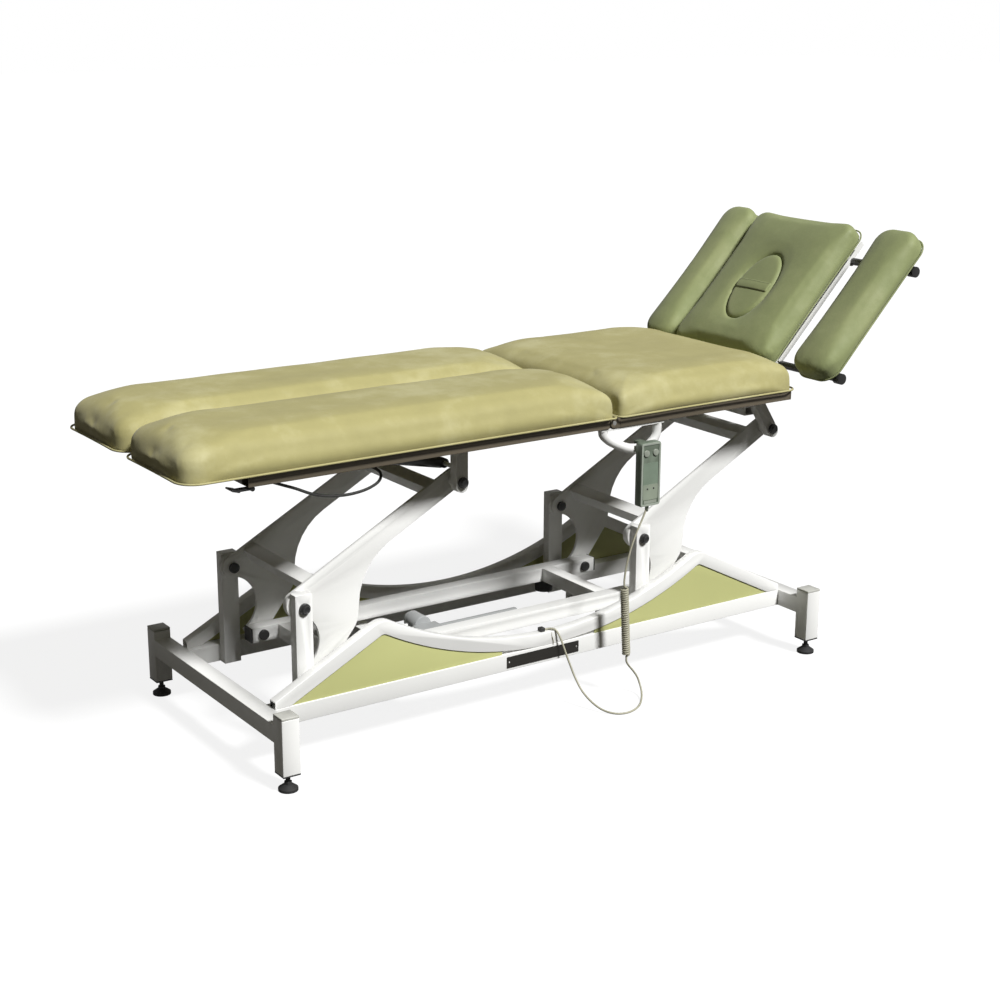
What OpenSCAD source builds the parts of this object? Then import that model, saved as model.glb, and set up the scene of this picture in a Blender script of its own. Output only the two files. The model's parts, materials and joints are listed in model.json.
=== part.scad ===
// Height-adjustable treatment table with split leg sections, a tilting back and side rests.
// The length runs along X from the foot end (-X) to the head end (+X), Z is up, the floor is z = 0.

/* [Base] */
// Distance between the corner posts along the length
base_len = 1444; // [1400:1:1500]
// Distance between the corner posts across the width
base_wid = 630; // [604:1:680]
// Side of the square tube of the base
tube_w = 40; // [38:1:42]
// Wall of the steel tubes
wall = 2.5; // [1.5:0.5:3.5]
// Height of the corner posts
post_h = 122; // [114:1:134]
// Height of the adjustable feet below the posts
foot_h = 39; // [35:1:45]
// Height of the underside of the base rails above the floor
rail_z = 102; // [96:1:108]
// Distance of the middle of each side rail from the middle of the table
rail_y = 209; // [207:1:213]

/* [Side arches] */
// Height of the section of the arch tubes
arch_w = 30; // [24:1:34]
// Depth of the section of the arch tubes
arch_d = 25; // [18:1:34]
// Radius of the hollow sweep of each arch
sweep_r = 895; // [870:5:930]
// Slope of the straight strut of each arch
strut_rise = 26.8; // [25.8:0.1:28]
// Distance of the outer tip of each infill panel from the middle
tip_x = 666; // [658:1:672]
// Thickness of the infill panels
panel_t = 4; // [2:0.5:6]

/* [Lift] */
// Place of the lower pivot of the foot arms along the length
foot_pivot_x = -608; // [-613:1:-603]
// Place of the lower pivot of the head arms along the length
head_pivot_x = 298; // [293:1:303]
// Height of the lower pivots
pivot_z = 335; // [331:1:339]
// Length of the swing arms between their pivots
arm_len = 450; // [444:1:456]
// Rise of the swing arms from level
arm_rise = 28.4; // [27.6:0.1:29.2]
// Thickness of the arm plates
plate_t = 8; // [6:0.5:9]
// Half of the width of the straight part of an arm plate
arm_half = 24; // [22:1:25]
// Radius of the round notch in an arm plate
notch_r = 70; // [64:1:71]
// Radius of the pivot pins
pin_r = 8; // [6:0.5:9]

/* [Top] */
// Length of the leg cushions
leg_len = 1036; // [1010:1:1060]
// Length of the seat cushion
seat_len = 532; // [524:1:534]
// Width of the lying surface
top_wid = 610; // [606:2:616]
// Thickness of the cushions without their crown
pad_t = 58; // [54:1:62]
// Height of the crown of the leg and seat cushions
crown_h = 16; // [8:1:18]
// Height of the frame tubes under the cushions
frame_h = 22; // [20:1:24]

/* [Back] */
// Tilt of the back section
back_tilt = 46.2; // [44:0.2:47]
// Length of the back cushion
back_len = 433; // [426:1:440]
// Width of the middle back cushion
back_wid = 360; // [352:2:362]
// Thickness of the back cushions
back_t = 52; // [50:1:56]
// Width of a side rest
rest_wid = 118; // [110:1:122]
// Distance by which the near side rest is drawn out
rest_out = 80; // [60:1:90]
// Length of the face opening along the back
face_len = 206; // [196:2:214]
// Width of the face opening
face_wid = 125; // [115:1:132]

/* [Handset] */
// Width of the handset
handset_w = 56; // [52:1:60]
// Height of the handset
handset_h = 148; // [140:1:154]
// Depth of the handset
handset_d = 20; // [16:1:22]

/* [Cord] */
// Diameter of the handset cord
cord_d = 4.6; // [4:0.1:4.9]
// Outer diameter of the curled part of the cord
curl_d = 20; // [18:0.5:22]
// Number of curls
curls = 30; // [20:1:32]
// Height taken by one curl
curl_pitch = 5.4; // [5.3:0.1:5.6]

/* [Hidden] */
$fn = 48;

// Colours
white = [0.93, 0.93, 0.91];
black = [0.08, 0.08, 0.08];
olive = [0.70, 0.69, 0.48];
sage = [0.55, 0.58, 0.38];
panel_tint = [0.78, 0.78, 0.53];
steel = [0.72, 0.73, 0.74];
brown = [0.42, 0.38, 0.31];
handset_tint = [0.50, 0.56, 0.49];
cord_tint = [0.62, 0.60, 0.50];

// Fits
eps = 0.3;
run_fit = 0.05;
over = 2;
weld = 1;

// Base
side_shares = [-1, 1];
half_len = base_len / 2;
half_wid = base_wid / 2;
half_tube = tube_w / 2;
inner_w = tube_w - 2 * wall;
rail_top = rail_z + tube_w;
post_top = foot_h + post_h;
rail_in = rail_y - half_tube;
rail_out = rail_y + half_tube;
end_in = half_len - half_tube;
plug_t = 3;
plug_lip = 9;
post_cap_t = 5.5;
stem_r = 5;
stem_in = 45;
pad_r = 21;
pad_h = 14;
pad_rim = 6;

// Arches
arch_in = rail_out - arch_d;
panel_recess = 3;
panel_out = rail_out - panel_recess;
panel_in_x = 130;
sweep_z = rail_top + sweep_r;
peak_r = 16;
strut_c = tip_x * sin(strut_rise) + rail_top * cos(strut_rise);
peak_c = strut_c - peak_r;
peak_d = peak_c - sweep_z * cos(strut_rise);
peak_t = sqrt(pow(sweep_r + peak_r, 2) - pow(peak_d, 2)) - sweep_z * sin(strut_rise);
peak_x = peak_c * sin(strut_rise) + peak_t * cos(strut_rise);
peak_z = peak_c * cos(strut_rise) - peak_t * sin(strut_rise);
arch_top = rail_top + arch_w;

// Lift
post_dx = 40;
post_dy = 25;
post_out = rail_in;
post_in = post_out - post_dy;
post_rise = 30;
boss_r = 29;
plate_gap = 12;
plate_out = post_in - plate_gap;
plate_in = plate_out - plate_t;
arm_dx = arm_len * cos(arm_rise);
arm_dz = arm_len * sin(arm_rise);
pivot_xs = [foot_pivot_x, head_pivot_x];
up_xs = [for (x = pivot_xs) x + arm_dx];
up_z = pivot_z + arm_dz;
low_end_r = 26;
tail_r = 24;
tail_s = -31;
tail_n = -163;
notch_s = -56;
notch_n = -72;
bend_s = 250;
bend_r = 150;
bend_turn = 50;
knee_s = 71;
knee_n = -100;
knee_r = 40;
arm_tube_w = 30;
arm_tube_ss = [40, 386];
arm_tube_n = -10;
tail_dx = tail_s * cos(arm_rise) - tail_n * sin(arm_rise);
tail_dz = tail_s * sin(arm_rise) + tail_n * cos(arm_rise);
tail_xs = [for (x = pivot_xs) x + tail_dx];
tail_z = pivot_z + tail_dz;
cap_r = 12;
cap_h = 8;

// Link frame
link_w = 35;
link_out = plate_in - weld;
link_in = link_out - link_w;
link_h = 34;
link_z = tail_z - link_h / 2;
link_tail_foot = 26;
link_tail_head = 30;
link_x0 = tail_xs[0] - link_tail_foot;
link_x1 = tail_xs[1] + link_tail_head;
link_plug_t = 4;
link_tube_w = 34;
link_tube_head_x = 235;
link_tube_foot_x = -502;
buffer_r = 23;
buffer_h = 30;

// Actuator
anchor_tube_x = -290;
anchor_reach = 44;
act_z = 135;
act_rear_x = anchor_tube_x + anchor_reach;
act_front_x = link_tube_head_x;
act_pin_r = 6;
act_eye_r = 12;
act_half = 11;
cheek_t = 5;
cheek_in = act_half + eps;
cheek_out = cheek_in + cheek_t;
cheek_top = 166;
act_neck = 32;
act_box_x = act_rear_x + act_neck - weld;
act_box_len = 62;
act_box_w = 46;
act_box_h = 38;
act_tube_r = 18;
act_tube_end_x = 62;
act_bore_r = 14;
act_bore_x = act_box_x + act_box_len;
act_rod_r = 10;
act_rod_in = 118;
motor_r = 22;
motor_len = 52;
motor_step = 8;
motor_dx = 61;
motor_dz = 14;
control_len = 104;
control_wid = 130;
control_h = 40;
control_lift = 2;
control_r = 6;
clip_len = 12;
clip_w = 14;
clip_h = 9;

// Top frame
cushion_z = 668.3;
frame_top = cushion_z - eps;
frame_z = frame_top - frame_h;
frame_w = 30;
flat_t = 6;
main_top = frame_top - flat_t - eps;
main_h = 30;
main_z = main_top - main_h;
main_past = 38;
main_x0 = up_xs[0] - main_past;
side_inset = 15;
side_out = top_wid / 2 - side_inset;
side_in = side_out - frame_w;
leg_hinge_x = 127;
seam_foot = 6;
seam_head = 5;
leg_end_x = leg_hinge_x - seam_foot;
seat_x = leg_hinge_x + seam_head;
hinge_z = frame_top - frame_h / 2;
back_gap = 8;
back_hinge_x = seat_x + seat_len + back_gap;
hinge_reach = 16;
seat_x0 = leg_hinge_x + hinge_reach;
seat_x1 = back_hinge_x - hinge_reach;
main_x1 = max(seat_x1, up_xs[1] - main_past);
seat_mid_x = 400;
knuckle_r = frame_h / 2;
knuckle_w = 14;
lug_w = 7;
lug_off = (knuckle_w + lug_w) / 2 + eps;
hinge_reach_y = knuckle_w / 2 + eps + lug_w;
hinge_pin_r = 5;
bracket_w = 30;
bracket_drop = 24;
head_lean = 33;
head_cross_back = 69;
head_cross_up = 36;
head_cross_x = up_xs[1] - head_cross_back;
head_cross_z = up_z + head_cross_up;
collar_r = 14;
corner_foot = 40;
corner_seam = 18;
corner_head = 32;
edge_pad = 46;
pull_in = 3;

// Leg sections
leg_gap = 3;
leg_inner_y = 22;
leg_foot_x = leg_end_x - leg_len;
leg_frame_in = 140;
leg_frame_back = 14;
leg_frame_x0 = leg_foot_x + leg_frame_in;
leg_frame_x1 = leg_hinge_x - leg_frame_back;
leg_cross_x = -495;
leg_wid = top_wid / 2 - leg_gap / 2;
leg_hinge_ys = [leg_inner_y + frame_w / 2, side_in + frame_w / 2];

// Leg gas springs
spring_y = 130;
spring_a_back = 12.8;
spring_a_up = 34;
spring_a_x = up_xs[0] - spring_a_back;
spring_a_z = up_z + spring_a_up;
spring_b_x = leg_cross_x + frame_w / 2;
spring_b_z = 636;
spring_r = 12.5;
spring_bore_r = 10.5;
spring_len = 150;
spring_eye_r = 11;
spring_half = 8;
spring_pin_r = 5;
spring_rod_r = 4;
spring_rod_short = 34;
spring_lug = 4;
spring_angle = atan2(spring_b_z - spring_a_z, spring_b_x - spring_a_x);
spring_dist = norm([spring_b_x - spring_a_x, spring_b_z - spring_a_z]);

// Release lever
lever_in = 12;
lever_arm = 32;
lever_tip = 14;
lever_rise = 4;
lever_x = leg_frame_x0 + lever_in;
lever_y = side_in + frame_w / 2;
lever_r = 5;
lever_z = frame_z - lever_r - eps;
lever_t = 4;
lever_half = 9;
lever_tip_half = 15;

// Back
back_u0 = 40;
back_n0 = 12;
back_mid_u = back_u0 + back_len / 2;
back_edge = 16;
back_corner = 38;
back_crown = 6;
back_pull = 4;
face_shift = -25.5;
plug_fit = 0.4;
band_w = 26;
band_t = 2;
band_inset = 8;
back_tube = 24;
back_tube_n = back_n0 - weld - back_tube;
back_side_y = 150;
back_tube_u0 = 12;
back_tube_u1 = 440;
back_cross_u0 = 28;
rest_gap = 4;
rest_in = back_wid / 2 + rest_gap;
rest_us = [68, 392];
rest_n = back_tube_n + back_tube / 2;
rest_bar_r = 9;
rest_sleeve_r = 12;
sleeve_in = 100;
bar_grip = 40;
rest_bar_in = rest_out + bar_grip;
rest_plate_t = 5;
rest_plate_past = 14;
rest_knob_r = 13;
rest_knob_w = 20;
rest_edge = 16;
rest_corner = 46;
rest_crown = 4;
rest_pull = 2;
crank_u = 20;
crank_n = -70;
crank_y = 222;
back_a_x = 400;
back_a_z = 615;
back_spring_y = crank_y + eps + spring_half;
back_spring_r = 10;
back_spring_len = 190;
back_bore_r = 7;
back_rod_r = 4;
back_rod_short = 62;
crank_x = back_hinge_x + crank_u * cos(back_tilt) - crank_n * sin(back_tilt);
crank_z = hinge_z + crank_u * sin(back_tilt) + crank_n * cos(back_tilt);
back_spring_angle = atan2(crank_z - back_a_z, crank_x - back_a_x);
back_spring_dist = norm([crank_x - back_a_x, crank_z - back_a_z]);

// Handset rail and handset
rail_r = 11;
rail_plane_y = -275;
strap_t = 6;
strap_x0 = 93;
strap_x1 = 271;
handset_x = 216;
handset_y = -300;
handset_z = 457;
handset_r = 5;
hook_w = 20;
hook_t = 4;
hook_drop = 14;
hook_z = 597.8;
button_r = 8;
button_rise = 3;
button_dx = 13;
button_dz = 24;
travel_gap = 2;
// Route of the bent rail that the handset hangs on
rail_route = [
    [105, rail_plane_y, 640], [106, rail_plane_y, 631], [115, rail_plane_y, 621], [131, rail_plane_y, 610],
    [154, rail_plane_y, 599], [177, rail_plane_y, 590], [206, rail_plane_y, 586], [226, rail_plane_y, 586],
    [241, rail_plane_y, 593], [253, rail_plane_y, 605], [259, rail_plane_y, 621], [259, rail_plane_y, 640]
];

// Part centre seen from above, without the cord
min_x = leg_foot_x;
max_x = back_hinge_x + (back_u0 + back_len) * cos(back_tilt) - (back_n0 - rest_plate_t) * sin(back_tilt);
min_y = -(rest_in + rest_out + rest_wid + rest_knob_w / 2);
max_y = half_wid + half_tube;
centre_x = (min_x + max_x) / 2;
centre_y = (min_y + max_y) / 2;

// Shares of the edge radius and of the thickness that a cushion side follows from its welt upwards
side_profile_shares = [[0.10, 0], [0, 0.10], [0, 0.34], [0.10, 0.56], [0.32, 0.78], [0.62, 0.92], [1, 1]];
// Shares of the way to the middle at which the crown has a ring
crown_shares = [0.35, 0.7];
// Shares of the edge radius and of the thickness of the loose face plug
plug_profile_shares = [[0, 0], [0, 0.86], [0.5, 0.96], [1, 1]];

// Route of the free cord from the clip on the arch to the foot of the curls
lower_route = [
    [-8, -214, 175], [0, -215, 175.2], [8, -221, 176.4], [14, -229.5, 174.6], [18, -234.8, 167], [23, -241, 151],
    [29, -249, 124], [34, -260, 97], [38, -276, 68], [43, -298, 40], [52, -326, 19],
    [64, -352, 7], [82, -374, 2.6], [106, -384, 2.6], [134, -378, 2.6], [160, -362, 2.6],
    [182, -341, 5], [197, -322, 13], [203, -308, 25], [199, -302, 43], [188, -300, 60],
    [176, -300, 74], [168, -300, 86], [167, -300, 94.9]
];
// Route of the free cord from the top of the curls to the handset
upper_route = [
    [156, -300, 277], [156, -300, 288], [160, -300, 316], [168, -300, 346], [178, -300, 374],
    [190, -300, 400], [202, -300, 422], [211, -300, 440], [215, -300, 450], [215.5, -300, 457]
];
coil_foot = [167, -300, 95];
coil_lean = -3.5;
// Route of the release cable of the near leg section
cable_route = [
    [-712, -262, 642.5], [-690, -266, 634], [-660, -268, 622], [-625, -269, 606], [-590, -268, 596],
    [-552, -266, 591], [-516, -263, 591], [-484, -258, 595], [-458, -250, 603], [-446, -238, 614],
    [-448, -222, 622], [-458, -204, 627], [-467, -186, 630], [-472, -164, 632], [-474, -142.6, 632]
];
cable_r = 3.2;

// Moves a piece from the middle of the base to the part's own origin
module set_down() {
    translate([-centre_x, -centre_y, 0]) children();
}

// Copies a near piece to both sides
module both_sides() {
    children();
    mirror([0, 1, 0]) children();
}

// Square tube along X from x0 to x1, open at both ends
module tube_x(x0, x1, y0, z0, w, h) {
    translate([x0, y0, z0]) difference() {
        cube([x1 - x0, w, h]);
        translate([-over, wall, wall]) cube([x1 - x0 + 2 * over, w - 2 * wall, h - 2 * wall]);
    }
}

// Square tube along Y from y0 to y1, open at both ends
module tube_y(y0, y1, x0, z0, w, h) {
    translate([x0, y0, z0]) difference() {
        cube([w, y1 - y0, h]);
        translate([wall, -over, wall]) cube([w - 2 * wall, y1 - y0 + 2 * over, h - 2 * wall]);
    }
}

// Round bar along Y from y0 to y1
module bar_y(x, z, y0, y1, r) {
    translate([x, y0, z]) rotate([-90, 0, 0]) cylinder(r = r, h = y1 - y0);
}

// Places a piece drawn in X and Z of the swing arm, with the lower pivot as its origin
module on_arm(x) {
    translate([x, 0, pivot_z]) rotate([0, -arm_rise, 0]) children();
}

// Places a piece drawn along the back, with the back hinge as its origin
module on_back() {
    translate([back_hinge_x, 0, hinge_z]) rotate([0, -back_tilt, 0]) children();
}

// Stands an outline drawn in X and Z up between y0 and y1
module upright(y0, y1) {
    translate([0, y1, 0]) rotate([90, 0, 0]) linear_extrude(y1 - y0) children();
}

// Ring of points round a rectangle with corner radius r at its foot end and q at its head end
corner_steps = 3;
side_steps = 3;
function corner_arc(cx, cy, r, a0) =
    [for (i = [0:corner_steps]) [cx + r * cos(a0 + 90 * i / corner_steps), cy + r * sin(a0 + 90 * i / corner_steps)]];
function between(p, q) = [for (i = [1:side_steps]) p + (q - p) * i / (side_steps + 1)];
function round_ring(a, b, r, q) =
    let (ne = corner_arc(a - q, b - q, q, 0), nw = corner_arc(r - a, b - r, r, 90))
    let (sw = corner_arc(r - a, r - b, r, 180), se = corner_arc(a - q, q - b, q, 270))
    concat(ne, between(ne[corner_steps], nw[0]), nw, between(nw[corner_steps], sw[0]),
        sw, between(sw[corner_steps], se[0]), se, between(se[corner_steps], ne[0]));
function oval_ring(a, b, outer) = [for (p = outer) let (t = atan2(p[1] / b, p[0] / a)) [a * cos(t), b * sin(t)]];
function drawn_in(p, a, b, pull) = [
    p[0] * (1 - pull / a * (1 - pow(p[1] / b, 2))),
    p[1] * (1 - pull / b * (1 - pow(p[0] / a, 2)))
];
function set_in(a, b, corners, inset) =
    round_ring(a - inset, b - inset, max(corners[0] - inset, corners[0] / 4), max(corners[1] - inset, corners[1] / 4));
function cushion_rim(a, b, corners, edge, pull) = [for (p = set_in(a, b, corners, edge)) drawn_in(p, a, b, pull)];
function at_height(ring, z) = [for (p = ring) [p[0], p[1], z]];
function mixed(p, q, t) = [for (i = [0:len(p) - 1]) p[i] * (1 - t) + q[i] * t];

// Triangles between rings of n points, with closed ends or joined into a loop
function wall_faces(rings, n, loop) = [
    for (k = [0:rings - (loop ? 1 : 2)]) for (i = [0:n - 1])
        let (a = k * n + i, b = k * n + (i + 1) % n, up = ((k + 1) % rings) * n)
        each [[a, up + i, up + (i + 1) % n], [a, up + (i + 1) % n, b]]
];
function end_faces(rings, n) = [
    for (i = [0:n - 1]) each [
        [rings * n, i, (i + 1) % n],
        [rings * n + 1, (rings - 1) * n + (i + 1) % n, (rings - 1) * n + i]
    ]
];

// Crowned cushion on z = 0, with its corner radii at the foot and head ends, and an oval opening or none
module cushion(len_x, len_y, thick, corners, edge, crown, pull, hole = [], shift = 0) {
    a = len_x / 2;
    b = len_y / 2;
    inner_a = len(hole) ? hole[0] : a - 0.92 * b;
    inner_b = len(hole) ? hole[1] : 0.08 * b;
    rim = cushion_rim(a, b, corners, edge, pull);
    core = [for (p = oval_ring(inner_a, inner_b, rim)) p + [shift, 0]];
    sides = [for (s = side_profile_shares)
        at_height(cushion_rim(a, b, corners, edge * s[0], pull), thick * s[1])];
    domes = [for (t = crown_shares) at_height(mixed(rim, core, t), thick + crown * (1 - pow(1 - t, 2)))];
    mouth = thick + crown * (len(hole) ? 0.6 : 1);
    rings = concat(sides, domes, [at_height(core, mouth)], len(hole) ? [at_height(core, 0)] : []);
    n = len(rim);
    points = [for (r = rings) each r];
    if (len(hole))
        polyhedron(points, wall_faces(len(rings), n, true));
    else
        polyhedron(concat(points, [[0, 0, 0], [0, 0, mouth]]),
            concat(wall_faces(len(rings), n, false), end_faces(len(rings), n)));
}

// Round tube swept along a route of points
function unit(v) = v / norm(v);
function tangent(p, i) = unit(p[min(i + 1, len(p) - 1)] - p[max(i - 1, 0)]);
function flat_to(v, t) = unit(v - (v * t) * t);
function normals(p, i, last) =
    i == len(p) ? [] : let (m = flat_to(last, tangent(p, i))) concat([m], normals(p, i + 1, m));
function ring_at(c, t, m, r, n) =
    let (b = cross(t, m)) [for (k = [0:n - 1]) c + r * (cos(360 * k / n) * m + sin(360 * k / n) * b)];
module swept(p, r, n, start) {
    m = normals(p, 0, start);
    rings = [for (i = [0:len(p) - 1]) each ring_at(p[i], tangent(p, i), m[i], r, n)];
    polyhedron(concat(rings, [p[0], p[len(p) - 1]]),
        concat(wall_faces(len(p), n, false), end_faces(len(p), n)));
}

// Smooth points through a route, a fixed number between each pair
function spline_at(p0, p1, p2, p3, t) =
    0.5 * (2 * p1 + (p2 - p0) * t + (2 * p0 - 5 * p1 + 4 * p2 - p3) * pow(t, 2)
        + (3 * p1 - p0 - 3 * p2 + p3) * pow(t, 3));
function smooth(p, n) = concat(
    [for (i = [0:len(p) - 2]) for (k = [0:n - 1])
        spline_at(p[max(i - 1, 0)], p[i], p[i + 1], p[min(i + 2, len(p) - 1)], k / n)],
    [p[len(p) - 1]]
);

// Straight side rails of the base
module side_rails() {
    color(white) set_down() both_sides() tube_x(-end_in, end_in, -rail_out, rail_z, tube_w, tube_w);
}

// Outline below an arch, grown by the given depth, from height z0 upwards
peak_steps = 6;
sweep_steps = 36;
function arc(cx, cz, r, a0, a1, steps) =
    [for (i = [0:steps]) let (a = a0 + (a1 - a0) * i / steps) [cx + r * cos(a), cz + r * sin(a)]];
function mirrored(p) = [for (i = [len(p) - 1:-1:0]) [-p[i][0], p[i][1]]];
module arch_outline(depth, z0) {
    reach = tip_x + depth / sin(strut_rise) - (z0 - rail_top) / tan(strut_rise);
    low = atan2(peak_z - sweep_z, peak_x);
    peak = arc(peak_x, peak_z, peak_r + depth, 90 - strut_rise, 180 + low, peak_steps);
    sweep = arc(0, sweep_z, sweep_r - depth, low, -180 - low, sweep_steps);
    inner = [for (i = [1:sweep_steps - 1]) sweep[i]];
    polygon(concat([[reach, z0]], peak, inner, mirrored(peak), [[-reach, z0]]));
}

// Arched tubes that rise over each side rail
module side_arches() {
    color(white) set_down() both_sides() difference() {
        upright(-rail_out, -arch_in) intersection() {
            difference() {
                arch_outline(arch_w, rail_top);
                arch_outline(0, rail_top);
            }
            translate([-end_in, rail_top]) square([2 * end_in, sweep_r]);
        }
        upright(-rail_out + wall, -arch_in - wall) difference() {
            arch_outline(arch_w - wall, rail_top + wall);
            arch_outline(wall, rail_top + wall);
        }
    }
}

// End frame of two posts and a cross tube, at the given place along the length
module end_frame(x) {
    difference() {
        union() {
            for (s = side_shares)
                translate([x - half_tube, s * half_wid - half_tube, foot_h]) cube([tube_w, tube_w, post_h]);
            translate([x - half_tube, -half_wid, rail_z]) cube([tube_w, base_wid, tube_w]);
        }
        for (s = side_shares)
            translate([x - inner_w / 2, s * half_wid - inner_w / 2, foot_h - over])
                cube([inner_w, inner_w, post_h + 2 * over]);
        translate([x - inner_w / 2, -half_wid, rail_z + wall]) cube([inner_w, base_wid, inner_w]);
    }
}

module foot_end_frame() {
    color(white) set_down() end_frame(-half_len);
}

module head_end_frame() {
    color(white) set_down() end_frame(half_len);
}

// Coloured sheets that fill the two triangles on each side
module infill_panels() {
    color(panel_tint) set_down() both_sides() upright(-panel_out, panel_t - panel_out) difference() {
        arch_outline(0, rail_top);
        translate([-panel_in_x, 0]) square([2 * panel_in_x, sweep_z]);
    }
}

// Posts that carry the lower pivots of the swing arms
module pivot_posts() {
    color(white) set_down() both_sides() for (x = pivot_xs) difference() {
        union() {
            translate([x - post_dx / 2, -post_out, rail_z])
                cube([post_dx, post_dy, pivot_z + post_rise - rail_z]);
            bar_y(x, pivot_z, -post_in - wall, -plate_out - eps, boss_r);
        }
        translate([x - post_dx / 2 + wall, -post_out + wall, rail_z - over])
            cube([post_dx - 2 * wall, post_dy - 2 * wall, pivot_z + post_rise - wall - rail_z + over]);
        bar_y(x, pivot_z, -post_out - over, -plate_out + over, pin_r);
    }
}

// Cross tube of the base with the two cheeks that hold the rear of the actuator
module base_cross_tube() {
    color(white) set_down() {
        tube_y(-rail_in, rail_in, anchor_tube_x - half_tube, rail_z, tube_w, tube_w);
        for (y = [-cheek_out, cheek_in]) difference() {
            translate([anchor_tube_x + half_tube, y, rail_z])
                cube([anchor_reach - half_tube + act_eye_r, cheek_t, cheek_top - rail_z]);
            bar_y(act_rear_x, act_z, y - over, y + cheek_t + over, act_pin_r);
        }
    }
}

// Black plugs in the lower ends of the corner posts
module post_plugs() {
    color(black) set_down() both_sides() for (s = side_shares)
        translate([s * half_len, -half_wid, foot_h]) difference() {
            union() {
                translate([-inner_w / 2, -inner_w / 2, 0]) cube([inner_w, inner_w, plug_lip]);
                translate([-half_tube, -half_tube, -plug_t]) cube([tube_w, tube_w, plug_t]);
            }
            translate([0, 0, -plug_t - over]) cylinder(r = stem_r + run_fit, h = plug_lip + plug_t + 2 * over);
        }
}

// Grey caps on the upper ends of the corner posts
module post_caps() {
    color(steel) set_down() both_sides() for (s = side_shares)
        translate([s * half_len, -half_wid, post_top]) {
            translate([-half_tube, -half_tube, 0]) cube([tube_w, tube_w, post_cap_t]);
            translate([-inner_w / 2, -inner_w / 2, -plug_lip]) cube([inner_w, inner_w, plug_lip]);
        }
}

// Bolts with round caps through the lower pivots, and the bolts of the actuator anchor
module lower_pivot_pins() {
    color(black) set_down() both_sides() {
        for (x = pivot_xs) {
            bar_y(x, pivot_z, -post_out - cap_h, -post_out, cap_r);
            bar_y(x, pivot_z, -post_out, -plate_in + weld, pin_r);
            bar_y(x, pivot_z, -plate_in + weld, -plate_in + cap_h, cap_r);
        }
        bar_y(act_rear_x, act_z, -cheek_out - cheek_t, -cheek_out, act_pin_r * 1.5);
        bar_y(act_rear_x, act_z, -cheek_out, -cheek_in, act_pin_r);
    }
}

// Closed housing of the control unit beside the actuator
module control_box() {
    x = anchor_tube_x - half_tube - control_len;
    color(black) set_down() translate([x, -control_wid / 2, rail_z + control_lift]) {
        translate([control_r, 0, 0]) cube([control_len - control_r, control_wid, control_h]);
        translate([0, control_r, 0]) cube([control_r, control_wid - 2 * control_r, control_h]);
        for (y = [control_r, control_wid - control_r])
            translate([control_r, y, 0]) cylinder(r = control_r, h = control_h);
    }
}

// Clip on top of the near arch, where the cord goes into the tube
module cord_clip() {
    p = lower_route[0];
    color(black) set_down() translate([p[0] - clip_len, p[1] - clip_w / 2, arch_top + eps])
        cube([clip_len, clip_w, clip_h]);
}

// Adjustable foot on its threaded stem
module levelling_foot(x, y) {
    color(black) set_down() translate([x, y, 0]) {
        cylinder(r = pad_r, h = pad_rim);
        translate([0, 0, pad_rim]) cylinder(r1 = pad_r, r2 = stem_r * 2, h = pad_h - pad_rim);
        translate([0, 0, pad_h]) cylinder(r = stem_r, h = foot_h - pad_h + stem_in);
        translate([0, 0, pad_h]) cylinder(r = stem_r * 1.8, h = pad_rim, $fn = 6);
    }
}

module foot_foot_near() {
    levelling_foot(-half_len, -half_wid);
}

module foot_foot_far() {
    levelling_foot(-half_len, half_wid);
}

module foot_head_near() {
    levelling_foot(half_len, -half_wid);
}

module foot_head_far() {
    levelling_foot(half_len, half_wid);
}

// Outline of an arm plate, in lengths along and across the arm from the lower pivot
module arm_outline() {
    bend = [for (a = [0:10:bend_turn]) [bend_s - bend_r * sin(a), -arm_half - bend_r * (1 - cos(a))]];
    knee = [for (a = [-35:-10:-65]) [knee_s + knee_r * cos(a), knee_n + knee_r * sin(a)]];
    difference() {
        union() {
            circle(r = low_end_r);
            translate([arm_len, 0]) circle(r = arm_half);
            translate([tail_s, tail_n]) circle(r = tail_r);
            polygon(concat(
                [[0, low_end_r], [arm_len, arm_half], [arm_len, -arm_half]],
                bend, knee,
                [[tail_s + tail_r * 0.4, tail_n - tail_r * 0.917]],
                [[tail_s - tail_r * 0.966, tail_n + tail_r * 0.26]],
                [[notch_s, notch_n], [-low_end_r * 0.707, -low_end_r * 0.707]]
            ));
        }
        translate([notch_s, notch_n]) circle(r = notch_r, $fn = 96);
    }
}

// Pair of arm plates with their pivot bores
module arm_plates(x) {
    color(white) set_down() both_sides() on_arm(x) difference() {
        upright(-plate_out, -plate_in) arm_outline();
        bar_y(0, 0, -plate_out - over, -plate_in + over, pin_r + run_fit);
        bar_y(arm_len, 0, -plate_out - over, -plate_in + over, pin_r + run_fit);
        bar_y(tail_s, tail_n, -plate_out - over, -plate_in + over, pin_r + run_fit);
    }
}

// Two square tubes that join a pair of arm plates
module arm_tubes(x) {
    color(white) set_down() on_arm(x) for (s = arm_tube_ss)
        tube_y(-plate_in, plate_in, s, arm_tube_n, arm_tube_w, arm_tube_w);
}

module foot_arm_plates() {
    arm_plates(foot_pivot_x);
}

module foot_arm_tubes() {
    arm_tubes(foot_pivot_x);
}

module head_arm_plates() {
    arm_plates(head_pivot_x);
}

module head_arm_tubes() {
    arm_tubes(head_pivot_x);
}

// Long bars that join the tails of the foot and head arms
module link_bars() {
    color(white) set_down() both_sides() difference() {
        tube_x(link_x0, link_x1, -link_out, link_z, link_w, link_h);
        for (x = tail_xs) bar_y(x, tail_z, -link_out - over, -link_in + over, pin_r);
    }
}

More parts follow.
